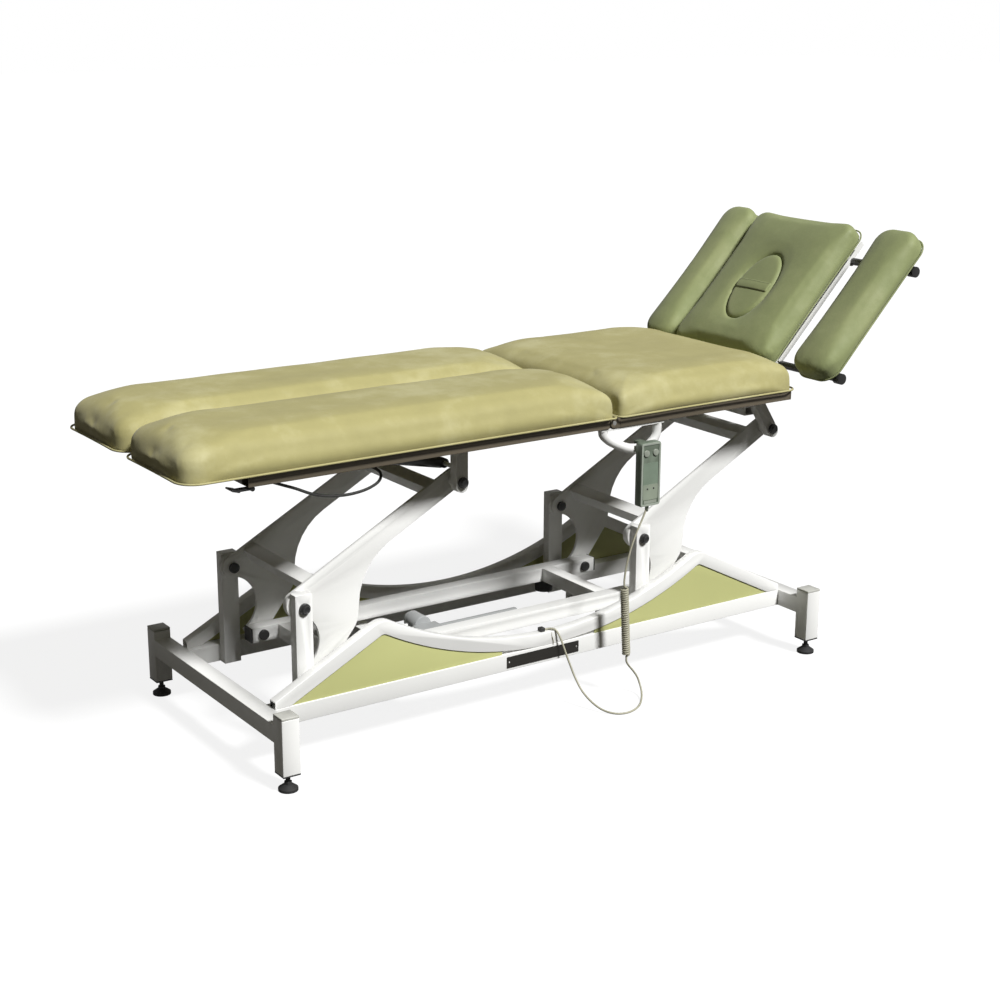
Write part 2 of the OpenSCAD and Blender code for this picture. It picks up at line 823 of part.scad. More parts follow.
// Cross tubes of the link frame, the head one with the cheeks of the actuator rod
module link_cross_tubes() {
    color(white) set_down() {
        for (x = [link_tube_foot_x, link_tube_head_x])
            tube_y(-link_in, link_in, x - link_tube_w / 2, link_z, link_tube_w, link_h);
        for (y = [-cheek_out, cheek_in]) difference() {
            union() {
                translate([act_front_x - act_eye_r, y, act_z]) cube([2 * act_eye_r, cheek_t, link_z - act_z]);
                bar_y(act_front_x, act_z, y, y + cheek_t, act_eye_r);
            }
            bar_y(act_front_x, act_z, y - over, y + cheek_t + over, act_pin_r);
        }
    }
}

// Black plugs in the open ends of the link bars
module link_plugs() {
    color(black) set_down() both_sides() for (x = [link_x0 - link_plug_t, link_x1])
        translate([x, -link_out, link_z]) cube([link_plug_t, link_w, link_h]);
}

// Bolts through the arm tails and the link bars, and the front pin of the actuator
module link_pins() {
    color(black) set_down() {
        both_sides() for (x = tail_xs) {
            bar_y(x, tail_z, -plate_out, -link_in, pin_r);
            bar_y(x, tail_z, -link_in, -link_in + cap_h, cap_r);
        }
        bar_y(act_front_x, act_z, -cheek_out, cheek_out, act_pin_r);
    }
}

// Round buffers under the link bars
module link_buffers() {
    color(steel) set_down() both_sides()
        translate([link_tube_head_x, -(link_in + link_out) / 2, link_z - buffer_h])
            cylinder(r1 = buffer_r - weld, r2 = buffer_r, h = buffer_h);
}

// Gear case and outer tube of the linear actuator
module actuator_housing() {
    color(steel) set_down() difference() {
        union() {
            bar_y(act_rear_x, act_z, -act_half, act_half, act_eye_r);
            translate([act_rear_x, -act_half, act_z - act_eye_r]) cube([act_neck, act_half * 2, act_eye_r * 2]);
            translate([act_box_x, -act_box_w / 2, act_z - act_box_h / 2])
                cube([act_box_len, act_box_w, act_box_h]);
            translate([act_box_x, 0, act_z]) rotate([0, 90, 0])
                cylinder(r = act_tube_r, h = act_tube_end_x - act_box_x);
        }
        bar_y(act_rear_x, act_z, -act_half - over, act_half + over, act_pin_r);
        translate([act_bore_x, 0, act_z]) rotate([0, 90, 0])
            cylinder(r = act_bore_r, h = act_tube_end_x - act_bore_x + over);
    }
}

// Motor that stands crosswise on the gear case
module actuator_motor() {
    x = act_rear_x + motor_dx;
    y = act_box_w / 2;
    color(steel) set_down() {
        bar_y(x, act_z + motor_dz, y, y + motor_len, motor_r);
        bar_y(x, act_z + motor_dz, y + motor_len, y + motor_len + motor_step, motor_r * 0.8);
    }
}

// Push rod of the actuator with its eye
module actuator_rod() {
    x0 = act_tube_end_x - act_rod_in;
    color(steel) set_down() difference() {
        union() {
            translate([x0, 0, act_z]) rotate([0, 90, 0])
                cylinder(r = act_rod_r, h = act_front_x - x0 - act_eye_r / 2);
            bar_y(act_front_x, act_z, -act_half, act_half, act_eye_r);
        }
        bar_y(act_front_x, act_z, -act_half - over, act_half + over, act_pin_r + run_fit);
    }
}

// Two long rails under the seat and the leg sections
module main_rails() {
    color(white) set_down() both_sides() tube_x(main_x0, main_x1, -post_out, main_z, post_dy, main_h);
}

// Frame of the seat with the lugs of the leg and back hinges and the anchor of the back gas spring
module seat_frame() {
    anchor_y = back_spring_y + spring_half + eps;
    xs = [seat_x0, seat_mid_x - frame_w / 2, seat_x1 - frame_w];
    color(brown) set_down() {
        both_sides() {
            tube_x(seat_x0, seat_x1, -side_out, frame_z, frame_w, frame_h);
            for (x = xs) tube_y(-side_in, -post_out, x, frame_z, frame_w, frame_h);
            for (y = leg_hinge_ys) for (s = side_shares) hinge_lug(leg_hinge_x, seat_x0, -y + s * lug_off);
            for (s = side_shares) hinge_lug(back_hinge_x, seat_x1, -back_side_y + s * lug_off);
        }
        for (x = xs) tube_y(-post_in, post_in, x, frame_z, frame_w, frame_h);
        translate([back_a_x - spring_eye_r, anchor_y, back_a_z])
            cube([2 * spring_eye_r, lug_w, frame_z - back_a_z]);
        bar_y(back_a_x, back_a_z, anchor_y, anchor_y + lug_w, spring_eye_r);
        bar_y(back_a_x, back_a_z, back_spring_y - spring_half, anchor_y + lug_w, spring_pin_r);
    }
}

// Lug with a round end at the hinge, joined to the face of a tube
module hinge_lug(x, face_x, y) {
    difference() {
        union() {
            bar_y(x, hinge_z, y - lug_w / 2, y + lug_w / 2, knuckle_r);
            translate([min(x, face_x), y - lug_w / 2, frame_z]) cube([hinge_reach, lug_w, frame_h]);
        }
        bar_y(x, hinge_z, y - lug_w, y + lug_w, hinge_pin_r);
    }
}

// Four hanging brackets that carry the upper pivots, with their cross tube and the leg spring stubs
module lift_brackets() {
    color(white) set_down() {
        both_sides() {
            bracket(up_xs[0], 0);
            bracket(up_xs[1], head_lean);
            bar_y(spring_a_x, spring_a_z, -post_in - weld, -spring_y + spring_half, spring_pin_r);
        }
        tube_y(-post_in, post_in, head_cross_x, head_cross_z, bracket_w, frame_h);
    }
}

// Bracket that hangs from the main rail to its pivot, leaning towards the seat
module bracket(x, lean) {
    rise = main_z - up_z;
    difference() {
        union() {
            intersection() {
                translate([x, -post_out, up_z]) rotate([0, -lean, 0]) union() {
                    translate([-bracket_w / 2, 0, -bracket_drop + bracket_w / 2])
                        cube([bracket_w, post_dy, rise * 2]);
                    translate([0, 0, -bracket_drop + bracket_w / 2]) bar_y(0, 0, 0, post_dy, bracket_w / 2);
                }
                translate([x - rise * 2, -post_out, up_z - rise]) cube([rise * 4, post_dy, rise * 2]);
            }
            bar_y(x, up_z, -post_in - wall, -plate_out - eps, collar_r);
        }
        bar_y(x, up_z, -post_out - over, -plate_out + over, pin_r);
    }
}

// Bolts with round caps through the upper pivots
module upper_pivot_pins() {
    color(black) set_down() both_sides() for (x = up_xs) {
        bar_y(x, up_z, -post_out - cap_h, -post_out, cap_r);
        bar_y(x, up_z, -post_out, -plate_in + weld, pin_r);
        bar_y(x, up_z, -plate_in + weld, -plate_in + cap_h, cap_r);
    }
}

// Pins of the leg hinges and of the back hinge
module section_hinge_pins() {
    color(steel) set_down() both_sides() {
        for (y = leg_hinge_ys)
            bar_y(leg_hinge_x, hinge_z, -y - hinge_reach_y, -y + hinge_reach_y, hinge_pin_r);
        bar_y(back_hinge_x, hinge_z, -back_side_y - hinge_reach_y, -back_side_y + hinge_reach_y, hinge_pin_r);
    }
}

module seat_cushion() {
    color(olive) set_down() translate([seat_x + seat_len / 2, 0, cushion_z])
        cushion(seat_len, top_wid, pad_t, [corner_seam, corner_head], edge_pad, crown_h, pull_in);
}

// Bent rail on which the handset hangs, with the strap that holds it under the seat tube
module handset_rail() {
    y0 = rail_plane_y - rail_r;
    color(white) set_down() {
        swept(smooth(rail_route, 2), rail_r, 12, [0, 1, 0]);
        translate([strap_x0, y0, frame_z - strap_t - eps]) cube([strap_x1 - strap_x0, 2 * rail_r, strap_t]);
        translate([seat_x0, y0, frame_z - strap_t]) cube([strap_x1 - seat_x0, 2 * rail_r, strap_t]);
    }
}

// Frame under one leg cushion, with its hinge knuckles and the lugs of its gas spring
module leg_frame() {
    lug_ys = [-spring_y - spring_half - eps - spring_lug, -spring_y + spring_half + eps];
    difference() {
        union() {
            tube_x(leg_frame_x0, leg_frame_x1, -leg_inner_y - frame_w, frame_z, frame_w, frame_h);
            tube_x(leg_frame_x0, leg_frame_x1, -side_out, frame_z, frame_w, frame_h);
            for (x = [leg_frame_x0, leg_cross_x])
                tube_y(-side_in, -leg_inner_y - frame_w, x, frame_z, frame_w, frame_h);
            translate([leg_frame_x1 - frame_w, -side_in, frame_top - flat_t])
                cube([frame_w, side_in - leg_inner_y - frame_w, flat_t]);
            for (y = leg_hinge_ys) {
                bar_y(leg_hinge_x, hinge_z, -y - knuckle_w / 2, -y + knuckle_w / 2, knuckle_r);
                translate([leg_frame_x1, -y - knuckle_w / 2, frame_z])
                    cube([leg_frame_back, knuckle_w, frame_h]);
            }
            for (y = lug_ys) {
                bar_y(spring_b_x, spring_b_z, y, y + spring_lug, spring_eye_r);
                translate([spring_b_x - spring_eye_r, y, spring_b_z])
                    cube([2 * spring_eye_r, spring_lug, frame_z - spring_b_z]);
            }
            bar_y(spring_b_x, spring_b_z, lug_ys[0], lug_ys[1] + spring_lug, spring_pin_r);
        }
        bar_y(leg_hinge_x, hinge_z, -side_out, 0, hinge_pin_r + run_fit);
    }
}

module leg_frame_near() {
    color(brown) set_down() leg_frame();
}

module leg_frame_far() {
    color(brown) set_down() mirror([0, 1, 0]) leg_frame();
}

// Cushion of one leg section
module leg_cushion() {
    translate([leg_foot_x + leg_len / 2, -leg_gap / 2 - leg_wid / 2, cushion_z])
        cushion(leg_len, leg_wid, pad_t, [corner_foot, corner_seam], edge_pad, crown_h, pull_in);
}

module leg_cushion_near() {
    color(olive) set_down() leg_cushion();
}

module leg_cushion_far() {
    color(olive) set_down() mirror([0, 1, 0]) leg_cushion();
}

// Cylinder of a gas spring, from its eye along +X, open at its mouth
module spring_cylinder(r, bore, reach) {
    difference() {
        union() {
            bar_y(0, 0, -spring_half, spring_half, spring_eye_r);
            translate([spring_eye_r / 2, 0, 0]) rotate([0, 90, 0]) cylinder(r = r, h = reach);
        }
        translate([spring_eye_r + wall, 0, 0]) rotate([0, 90, 0]) cylinder(r = bore, h = reach);
        bar_y(0, 0, -r - over, r + over, spring_pin_r + run_fit);
        for (y = [spring_half, -spring_half - over - r])
            translate([-spring_eye_r, y, -2 * spring_eye_r])
                cube([2 * spring_eye_r + weld, over + r, 4 * spring_eye_r]);
    }
}

// Rod of a gas spring, from its eye along -X
module spring_rod(r, reach) {
    difference() {
        union() {
            bar_y(0, 0, -spring_half, spring_half, spring_eye_r * 0.9);
            translate([-reach, 0, 0]) rotate([0, 90, 0]) cylinder(r = r, h = reach);
        }
        bar_y(0, 0, -spring_half - over, spring_half + over, spring_pin_r + run_fit);
    }
}

module leg_spring(side) {
    color(black) set_down() translate([spring_a_x, side * spring_y, spring_a_z]) rotate([0, -spring_angle, 0])
        spring_cylinder(spring_r, spring_bore_r, spring_len);
}

module leg_rod(side) {
    color(steel) set_down() translate([spring_b_x, side * spring_y, spring_b_z]) rotate([0, -spring_angle, 0])
        spring_rod(spring_rod_r, spring_dist - spring_rod_short);
}

module leg_spring_near() {
    leg_spring(-1);
}

module leg_spring_far() {
    leg_spring(1);
}

module leg_rod_near() {
    leg_rod(-1);
}

module leg_rod_far() {
    leg_rod(1);
}

// Lever under the near leg section that works the release cable
module release_lever() {
    x1 = lever_x - lever_arm;
    color(black) set_down() translate([0, -lever_y, 0]) {
        bar_y(lever_x, lever_z, -lever_half, lever_half, lever_r);
        hull() {
            bar_y(lever_x, lever_z, -lever_half, lever_half, lever_t / 2, $fn = 24);
            bar_y(x1, lever_z, -lever_half, lever_half, lever_t / 2, $fn = 24);
        }
        hull() {
            bar_y(x1, lever_z, -lever_tip_half, lever_tip_half, lever_t / 2, $fn = 24);
            bar_y(x1 - lever_tip, lever_z + lever_rise, -lever_tip_half, lever_tip_half, lever_t / 2, $fn = 24);
        }
    }
}

// Sheathed cable from the lever to the near gas spring
module release_cable() {
    color(black) set_down() swept(smooth(cable_route, 2), cable_r, 8, [0, 0, 1]);
}

// Frame of the back, with sleeves for the side rests and the crank of its gas spring
module back_frame() {
    color(white) set_down() on_back() difference() {
        union() {
            both_sides() {
                translate([back_tube_u0, -back_side_y - back_tube / 2, back_tube_n])
                    cube([back_tube_u1 - back_tube_u0, back_tube, back_tube]);
                bar_y(0, 0, -back_side_y - knuckle_w / 2, -back_side_y + knuckle_w / 2, knuckle_r);
                translate([0, -back_side_y - knuckle_w / 2, -knuckle_r])
                    cube([back_tube_u0 + weld, knuckle_w, knuckle_r * 2]);
                for (u = rest_us) bar_y(u, rest_n, -rest_in + rest_gap, -sleeve_in, rest_sleeve_r);
            }
            for (u = [back_cross_u0, back_tube_u1 - back_tube])
                translate([u, -back_side_y, back_tube_n]) cube([back_tube, 2 * back_side_y, back_tube]);
            crank();
        }
        bar_y(0, 0, -side_in, side_in, hinge_pin_r + run_fit);
        for (u = rest_us) bar_y(u, rest_n, -rest_in, rest_in, rest_bar_r + run_fit);
    }
}

// Crank of the back gas spring on the far side
module crank() {
    translate([back_cross_u0, back_side_y, back_tube_n]) cube([back_tube, crank_y - back_side_y, back_tube]);
    hull() {
        translate([back_cross_u0, crank_y - lug_w, back_tube_n]) cube([back_tube, lug_w, back_tube]);
        bar_y(crank_u, crank_n, crank_y - lug_w, crank_y, spring_eye_r, $fn = 24);
    }
    bar_y(crank_u, crank_n, crank_y - weld, crank_y + 2 * spring_half + eps, spring_pin_r);
}

// Middle cushion of the back with its face opening
module back_cushion() {
    color(sage) set_down() on_back() translate([back_mid_u, 0, back_n0])
        cushion(back_len, back_wid, back_t, [back_corner, back_corner], back_edge, back_crown, back_pull,
            [face_len / 2, face_wid / 2], face_shift);
}

// Loose plug of the face opening with its pull band
module face_plug() {
    a = face_len / 2 - plug_fit;
    b = face_wid / 2 - plug_fit;
    outer = cushion_rim(back_len / 2, back_wid / 2, [back_corner, back_corner], back_edge, back_pull);
    rings = [for (s = plug_profile_shares)
        at_height(oval_ring(a - back_crown * s[0], b - back_crown * s[0], outer), back_t * s[1])];
    n = len(outer);
    color(sage) set_down() on_back() translate([back_mid_u + face_shift, 0, back_n0]) {
        polyhedron(concat([for (r = rings) each r], [[0, 0, 0], [0, 0, back_t + band_t]]),
            concat(wall_faces(len(rings), n, false), end_faces(len(rings), n)));
        translate([-band_w / 2, -b + band_inset, back_t - band_t])
            cube([band_w, 2 * b - 2 * band_inset, 2 * band_t + weld]);
    }
}

// Cushion of a side rest, drawn out by the given distance
module rest_pad(out) {
    translate([back_mid_u, -rest_in - out - rest_wid / 2, back_n0])
        cushion(back_len, rest_wid, back_t, [rest_corner, rest_corner], rest_edge, rest_crown, rest_pull);
}

// Plate and two sliding bars that carry a side rest
module rest_bars(out) {
    y0 = -rest_in - out;
    y1 = y0 - rest_wid;
    translate([rest_us[0] - rest_plate_past, y0 - rest_wid * 0.75, back_n0 - rest_plate_t])
        cube([rest_us[1] - rest_us[0] + 2 * rest_plate_past, rest_wid * 0.5, rest_plate_t]);
    for (u = rest_us) {
        bar_y(u, rest_n, y1, y0 + rest_bar_in, rest_bar_r);
        translate([u - rest_bar_r, y0 - rest_wid * 0.75, rest_n])
            cube([rest_bar_r * 2, rest_wid * 0.5, back_n0 - rest_n]);
        bar_y(u, rest_n, y1 - rest_knob_w / 2, y1 + rest_knob_w / 2, rest_knob_r);
    }
}

module rest_pad_near() {
    color(sage) set_down() on_back() rest_pad(rest_out);
}

module rest_pad_far() {
    color(sage) set_down() on_back() mirror([0, 1, 0]) rest_pad(0);
}

module rest_bars_near() {
    color(black) set_down() on_back() rest_bars(rest_out);
}

module rest_bars_far() {
    color(black) set_down() on_back() mirror([0, 1, 0]) rest_bars(0);
}

// Gas spring of the back
module back_spring() {
    color(black) set_down() translate([back_a_x, back_spring_y, back_a_z]) rotate([0, -back_spring_angle, 0])
        spring_cylinder(back_spring_r, back_bore_r, back_spring_len);
}

module back_rod() {
    color(steel) set_down() translate([crank_x, back_spring_y, crank_z]) rotate([0, -back_spring_angle, 0])
        spring_rod(back_rod_r, back_spring_dist - back_rod_short);
}

// Case of the handset with its hook, without the buttons
module handset() {
    y0 = handset_y - handset_d / 2;
    y1 = handset_y + handset_d / 2;
    lip_y = rail_plane_y + rail_r + eps;
    color(handset_tint) set_down() {
        difference() {
            union() {
                translate([handset_x - handset_w / 2, y0, handset_z + handset_r])
                    cube([handset_w, handset_d, handset_h - 2 * handset_r]);
                translate([handset_x - handset_w / 2 + handset_r, y0, handset_z])
                    cube([handset_w - 2 * handset_r, handset_d, handset_h]);
                for (s = side_shares) for (z = [handset_z + handset_r, handset_z + handset_h - handset_r])
                    bar_y(handset_x + s * (handset_w / 2 - handset_r), z, y0, y1, handset_r);
            }
            for (s = side_shares)
                bar_y(handset_x + s * button_dx, handset_z + handset_h - button_dz, y0 - over,
                    y0 + button_rise + travel_gap, button_r + eps);
        }
        translate([handset_x - hook_w / 2, y1, hook_z]) cube([hook_w, lip_y + hook_t - y1, hook_t]);
        translate([handset_x - hook_w / 2, lip_y, hook_z - hook_drop]) cube([hook_w, hook_t, hook_drop]);
    }
}

// Round button of the handset
module handset_button(s) {
    y0 = handset_y - handset_d / 2;
    color(white) set_down()
        bar_y(handset_x + s * button_dx, handset_z + handset_h - button_dz, y0 - button_rise,
            y0 + button_rise, button_r);
}

module up_button() {
    handset_button(-1);
}

module down_button() {
    handset_button(1);
}

// Free part of the cord between the curls and the handset
module cord_upper() {
    color(cord_tint) set_down() swept(smooth(upper_route, 2), cord_d / 2, 8, [0, 1, 0]);
}

// Curled part of the cord as one helix tube with straight ends
curl_r = (curl_d - cord_d) / 2;
curl_steps = 8;
curl_z0 = 2.2 * cord_d;
function curl_point(i) = let (a = 360 * i / curl_steps)
    [curl_r * cos(a), curl_r * sin(a), curl_z0 + curl_pitch * i / curl_steps];
coil_h = curls * curl_pitch + 2 * curl_z0;
coil_turn_in = [curl_r * 0.5, -curl_r * 0.4, 1.6 * cord_d];
coil_turn_out = [curl_r * 0.5, curl_r * 0.4, coil_h - 1.6 * cord_d];
coil_path = concat(
    [[0, 0, 0], [0, 0, cord_d], coil_turn_in],
    [for (i = [0:curls * curl_steps]) curl_point(i)],
    [coil_turn_out, [0, 0, coil_h - cord_d], [0, 0, coil_h]]
);
curl_gap = min([
    for (i = [0:curl_steps]) for (j = [-1:1]) norm(curl_point(i + curl_steps + j) - curl_point(i))
]) - cord_d;
echo(least_gap_between_curls = curl_gap);
module cord_coil() {
    color(cord_tint) set_down() translate(coil_foot) rotate([0, coil_lean, 0])
        swept(coil_path, cord_d / 2, 6, [0, 1, 0]);
}

// Free loop of the cord between the clip and the curls
module cord_lower() {
    color(cord_tint) set_down() swept(smooth(lower_route, 2), cord_d / 2, 8, [0, 1, 0]);
}

side_rails();
side_arches();
foot_end_frame();
head_end_frame();
infill_panels();
pivot_posts();
base_cross_tube();
post_plugs();
post_caps();
lower_pivot_pins();
control_box();
cord_clip();
foot_foot_near();
foot_foot_far();
foot_head_near();
foot_head_far();
foot_arm_plates();
foot_arm_tubes();
head_arm_plates();
head_arm_tubes();
link_bars();
link_cross_tubes();
link_plugs();
link_pins();
link_buffers();
actuator_housing();
actuator_motor();
actuator_rod();
main_rails();
seat_frame();
lift_brackets();
upper_pivot_pins();
section_hinge_pins();
seat_cushion();
handset_rail();
leg_frame_near();
leg_frame_far();
leg_cushion_near();
leg_cushion_far();
leg_spring_near();
leg_rod_near();
leg_spring_far();
leg_rod_far();
release_lever();
release_cable();
back_frame();
back_cushion();
face_plug();
rest_pad_near();
rest_bars_near();
rest_pad_far();
rest_bars_far();
back_spring();
back_rod();
handset();
up_button();
down_button();
cord_upper();
cord_coil();
cord_lower();
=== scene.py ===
import json
import math
import bmesh
import bpy
from mathutils import Matrix, Vector, noise


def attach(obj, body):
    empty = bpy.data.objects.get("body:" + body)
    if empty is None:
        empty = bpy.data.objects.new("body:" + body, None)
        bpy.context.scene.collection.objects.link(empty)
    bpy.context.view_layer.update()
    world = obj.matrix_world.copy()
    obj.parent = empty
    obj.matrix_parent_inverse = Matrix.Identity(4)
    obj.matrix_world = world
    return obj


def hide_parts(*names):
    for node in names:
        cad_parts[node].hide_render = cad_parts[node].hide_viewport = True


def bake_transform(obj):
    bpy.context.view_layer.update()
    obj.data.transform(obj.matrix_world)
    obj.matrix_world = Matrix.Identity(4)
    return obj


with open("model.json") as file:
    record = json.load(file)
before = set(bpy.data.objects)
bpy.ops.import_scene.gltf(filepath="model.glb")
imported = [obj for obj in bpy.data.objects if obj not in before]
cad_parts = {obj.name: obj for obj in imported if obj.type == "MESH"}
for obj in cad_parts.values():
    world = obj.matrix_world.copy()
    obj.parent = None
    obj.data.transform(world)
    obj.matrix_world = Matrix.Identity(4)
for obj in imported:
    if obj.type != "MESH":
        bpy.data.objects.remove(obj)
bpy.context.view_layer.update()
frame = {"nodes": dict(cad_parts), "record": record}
nodes = frame["nodes"]
print("frame loaded")

# lengths below are in millimetres from the middle of the base, as in the part's source
middle = {"x": 39.666, "y": -28.5}
hinge = {"x": 672, "z": 657, "tilt": 46.2}          # back hinge and rest angle


def spot(x, y, z):
    return Vector(((x - middle["x"]) / 1000, (y - middle["y"]) / 1000, z / 1000))


backMatrix = (Matrix.Translation(spot(hinge["x"], 0, hinge["z"]))
              @ Matrix.Rotation(-math.radians(hinge["tilt"]), 4, "Y"))


# ---------------------------------------------------------------- camera
cameraShape = {"place": (-2.31, -3.3331, 1.5878), "look": (0.54079, 0.79520, -0.27425),
               "side": (0.82746, -0.56152, 0.00351), "lens": 64.72, "sensor": 36, "near": 0.1, "far": 60}
camera = bpy.data.objects.new("camera", bpy.data.cameras.new("camera"))
bpy.context.collection.objects.link(camera)
camera.data.sensor_width, camera.data.lens = cameraShape["sensor"], cameraShape["lens"]
camera.data.clip_start, camera.data.clip_end = cameraShape["near"], cameraShape["far"]
look = Vector(cameraShape["look"]).normalized()
side = Vector(cameraShape["side"]).normalized()
rise = side.cross(look).normalized()
camera.matrix_world = Matrix([(side[k], rise[k], -look[k], cameraShape["place"][k]) for k in range(3)] + [(0, 0, 0, 1)])
bpy.context.scene.camera = camera


# ---------------------------------------------------------------- materials
def newMaterial(name, colour, roughness, metallic=0.0):
    mat = bpy.data.materials.new(name)
    mat.use_nodes = True
    tree = mat.node_tree
    shader = tree.nodes["Principled BSDF"]
    shader.inputs["Base Color"].default_value = (*colour, 1)
    shader.inputs["Roughness"].default_value = roughness
    shader.inputs["Metallic"].default_value = metallic
    coords = tree.nodes.new("ShaderNodeTexCoord")
    return mat, tree, shader, coords.outputs["Object"]


def addNoise(tree, coords, scale, detail=3.0, rough=0.5):
    tex = tree.nodes.new("ShaderNodeTexNoise")
    tex.inputs["Scale"].default_value = scale
    tex.inputs["Detail"].default_value = detail
    tex.inputs["Roughness"].default_value = rough
    tree.links.new(coords, tex.inputs["Vector"])
    return tex.outputs["Fac"]


def addRamp(tree, source, stops):
    ramp = tree.nodes.new("ShaderNodeValToRGB")
    for i, (place, colour) in enumerate(stops):
        stop = ramp.color_ramp.elements[i] if i < 2 else ramp.color_ramp.elements.new(place)
        stop.position = place
        stop.color = (*colour, 1)
    tree.links.new(source, ramp.inputs["Fac"])
    return ramp.outputs["Color"]


def addBump(tree, shader, source, strength, distance, under=None):
    bump = tree.nodes.new("ShaderNodeBump")
    bump.inputs["Strength"].default_value = strength
    bump.inputs["Distance"].default_value = distance
    tree.links.new(source, bump.inputs["Height"])
    if under:
        tree.links.new(under, bump.inputs["Normal"])
    tree.links.new(bump.outputs["Normal"], shader.inputs["Normal"])
    return bump.outputs["Normal"]


def shade(colour, factor):
    return tuple(min(1, c * factor) for c in colour)


def tint(tree, shader, source, stops):
    tree.links.new(addRamp(tree, source, stops), shader.inputs["Base Color"])


def vary(tree, shader, source, low, high, ends=(0.3, 0.7)):   # roughness between two values
    tree.links.new(addRamp(tree, source, [(ends[0], (low,) * 3), (ends[1], (high,) * 3)]), shader.inputs["Roughness"])


def powderCoat(name, colour, roughness=0.32):
    mat, tree, shader, coords = newMaterial(name, colour, roughness)
    tint(tree, shader, addNoise(tree, coords, 5, 4), [(0.3, shade(colour, 0.94)), (0.7, colour)])
    vary(tree, shader, addNoise(tree, coords, 60, 5, 0.7), roughness + 0.12, roughness, (0.35, 0.65))
    addBump(tree, shader, addNoise(tree, coords, 900, 2), 0.10, 0.0003)
    shader.inputs["Coat Weight"].default_value = 0.15
    shader.inputs["Coat Roughness"].default_value = 0.2
    return mat


def vinylLeather(name, colour, worn):
    mat, tree, shader, coords = newMaterial(name, colour, 0.62)
    cloud = addNoise(tree, coords, 4.5, 5, 0.6)
    patch = addNoise(tree, coords, 17, 6, 0.62)
    mix = tree.nodes.new("ShaderNodeMath")
    mix.operation = "MULTIPLY_ADD"
    mix.inputs[1].default_value = 0.45
    tree.links.new(patch, mix.inputs[0])
    tree.links.new(cloud, mix.inputs[2])
    tint(tree, shader, mix.outputs[0], [(0.50, shade(colour, 0.90)), (0.92, worn), (0.72, colour)])
    grain = tree.nodes.new("ShaderNodeTexVoronoi")
    grain.feature = "DISTANCE_TO_EDGE"
    grain.inputs["Scale"].default_value = 620
    tree.links.new(coords, grain.inputs["Vector"])
    fine = addBump(tree, shader, grain.outputs["Distance"], 0.22, 0.0006)
    addBump(tree, shader, addNoise(tree, coords, 38, 4, 0.6), 0.16, 0.004, fine)
    vary(tree, shader, patch, 0.70, 0.54, (0.35, 0.7))
    shader.inputs["Sheen Weight"].default_value = 0.15
    shader.inputs["Specular IOR Level"].default_value = 0.3
    shader.inputs["Sheen Roughness"].default_value = 0.5
    return mat


def mouldedPlastic(name, colour, roughness=0.45):
    mat, tree, shader, coords = newMaterial(name, colour, roughness)
    tint(tree, shader, addNoise(tree, coords, 30, 3), [(0.3, shade(colour, 0.88)), (0.7, shade(colour, 1.06))])
    addBump(tree, shader, addNoise(tree, coords, 2200, 1), 0.12, 0.0002)
    return mat


def turnedSteel(name, colour, roughness=0.3):
    mat, tree, shader, coords = newMaterial(name, colour, roughness, 1.0)
    streak = tree.nodes.new("ShaderNodeMapping")
    streak.inputs["Scale"].default_value = (0.05, 1, 1)
    tree.links.new(coords, streak.inputs["Vector"])
    lines = addNoise(tree, streak.outputs["Vector"], 700, 4, 0.7)
    vary(tree, shader, lines, roughness - 0.08, roughness + 0.12)
    addBump(tree, shader, lines, 0.08, 0.0002)
    return mat


white = powderCoat("whitePowderCoat", (0.86, 0.86, 0.84))
# dark brown for the section frames under the cushions: painted shade of the cushion overhang on frames that are white
# paint, standing also for the cushion board's edge
frameShadeBrown = powderCoat("frameShadeBrownPaint", (0.115, 0.095, 0.065), 0.5)
panelGreen = powderCoat("panelPaint", (0.50, 0.51, 0.215), 0.45)
olive = vinylLeather("oliveVinyl", (0.385, 0.352, 0.150), (0.47, 0.44, 0.225))
sage = vinylLeather("sageVinyl", (0.255, 0.290, 0.128), (0.300, 0.330, 0.155))
welt = vinylLeather("weltVinyl", (0.41, 0.375, 0.17), (0.48, 0.45, 0.24))
sageWelt = vinylLeather("sageWeltVinyl", (0.24, 0.27, 0.12), (0.29, 0.32, 0.15))
blackSteel = powderCoat("blackCoat", (0.016, 0.016, 0.016), 0.36)
blackPlastic = mouldedPlastic("blackPlastic", (0.022, 0.022, 0.021))
rubber = mouldedPlastic("blackRubber", (0.018, 0.018, 0.018), 0.75)
greyCap = mouldedPlastic("greyCap", (0.52, 0.52, 0.48), 0.4)
greyPaint = powderCoat("greyPaint", (0.36, 0.37, 0.37), 0.35)
steel = turnedSteel("turnedSteel", (0.62, 0.62, 0.60))
plateMetal = turnedSteel("bareMetalPlate", (0.075, 0.072, 0.065), 0.5)
casePlastic = mouldedPlastic("handsetCase", (0.150, 0.185, 0.140), 0.5)
rimPlastic = mouldedPlastic("handsetRim", (0.34, 0.38, 0.32), 0.48)
panelPlastic = mouldedPlastic("handsetPanel", (0.19, 0.245, 0.185), 0.42)
buttonPlastic = mouldedPlastic("handsetButton", (0.30, 0.33, 0.275), 0.45)
lowPanelPlastic = mouldedPlastic("handsetLowPanel", (0.27, 0.31, 0.24), 0.45)
cordPlastic = mouldedPlastic("cordSheath", (0.40, 0.385, 0.29), 0.45)
cablePlastic = mouldedPlastic("cableSheath", (0.03, 0.03, 0.028), 0.4)
# dark thread for the plug's stitching, also used for the painted shade line along the band's folded edge
threadAndFoldShade = mouldedPlastic("threadAndFoldShade", (0.08, 0.085, 0.04), 0.7)
print("materials made")

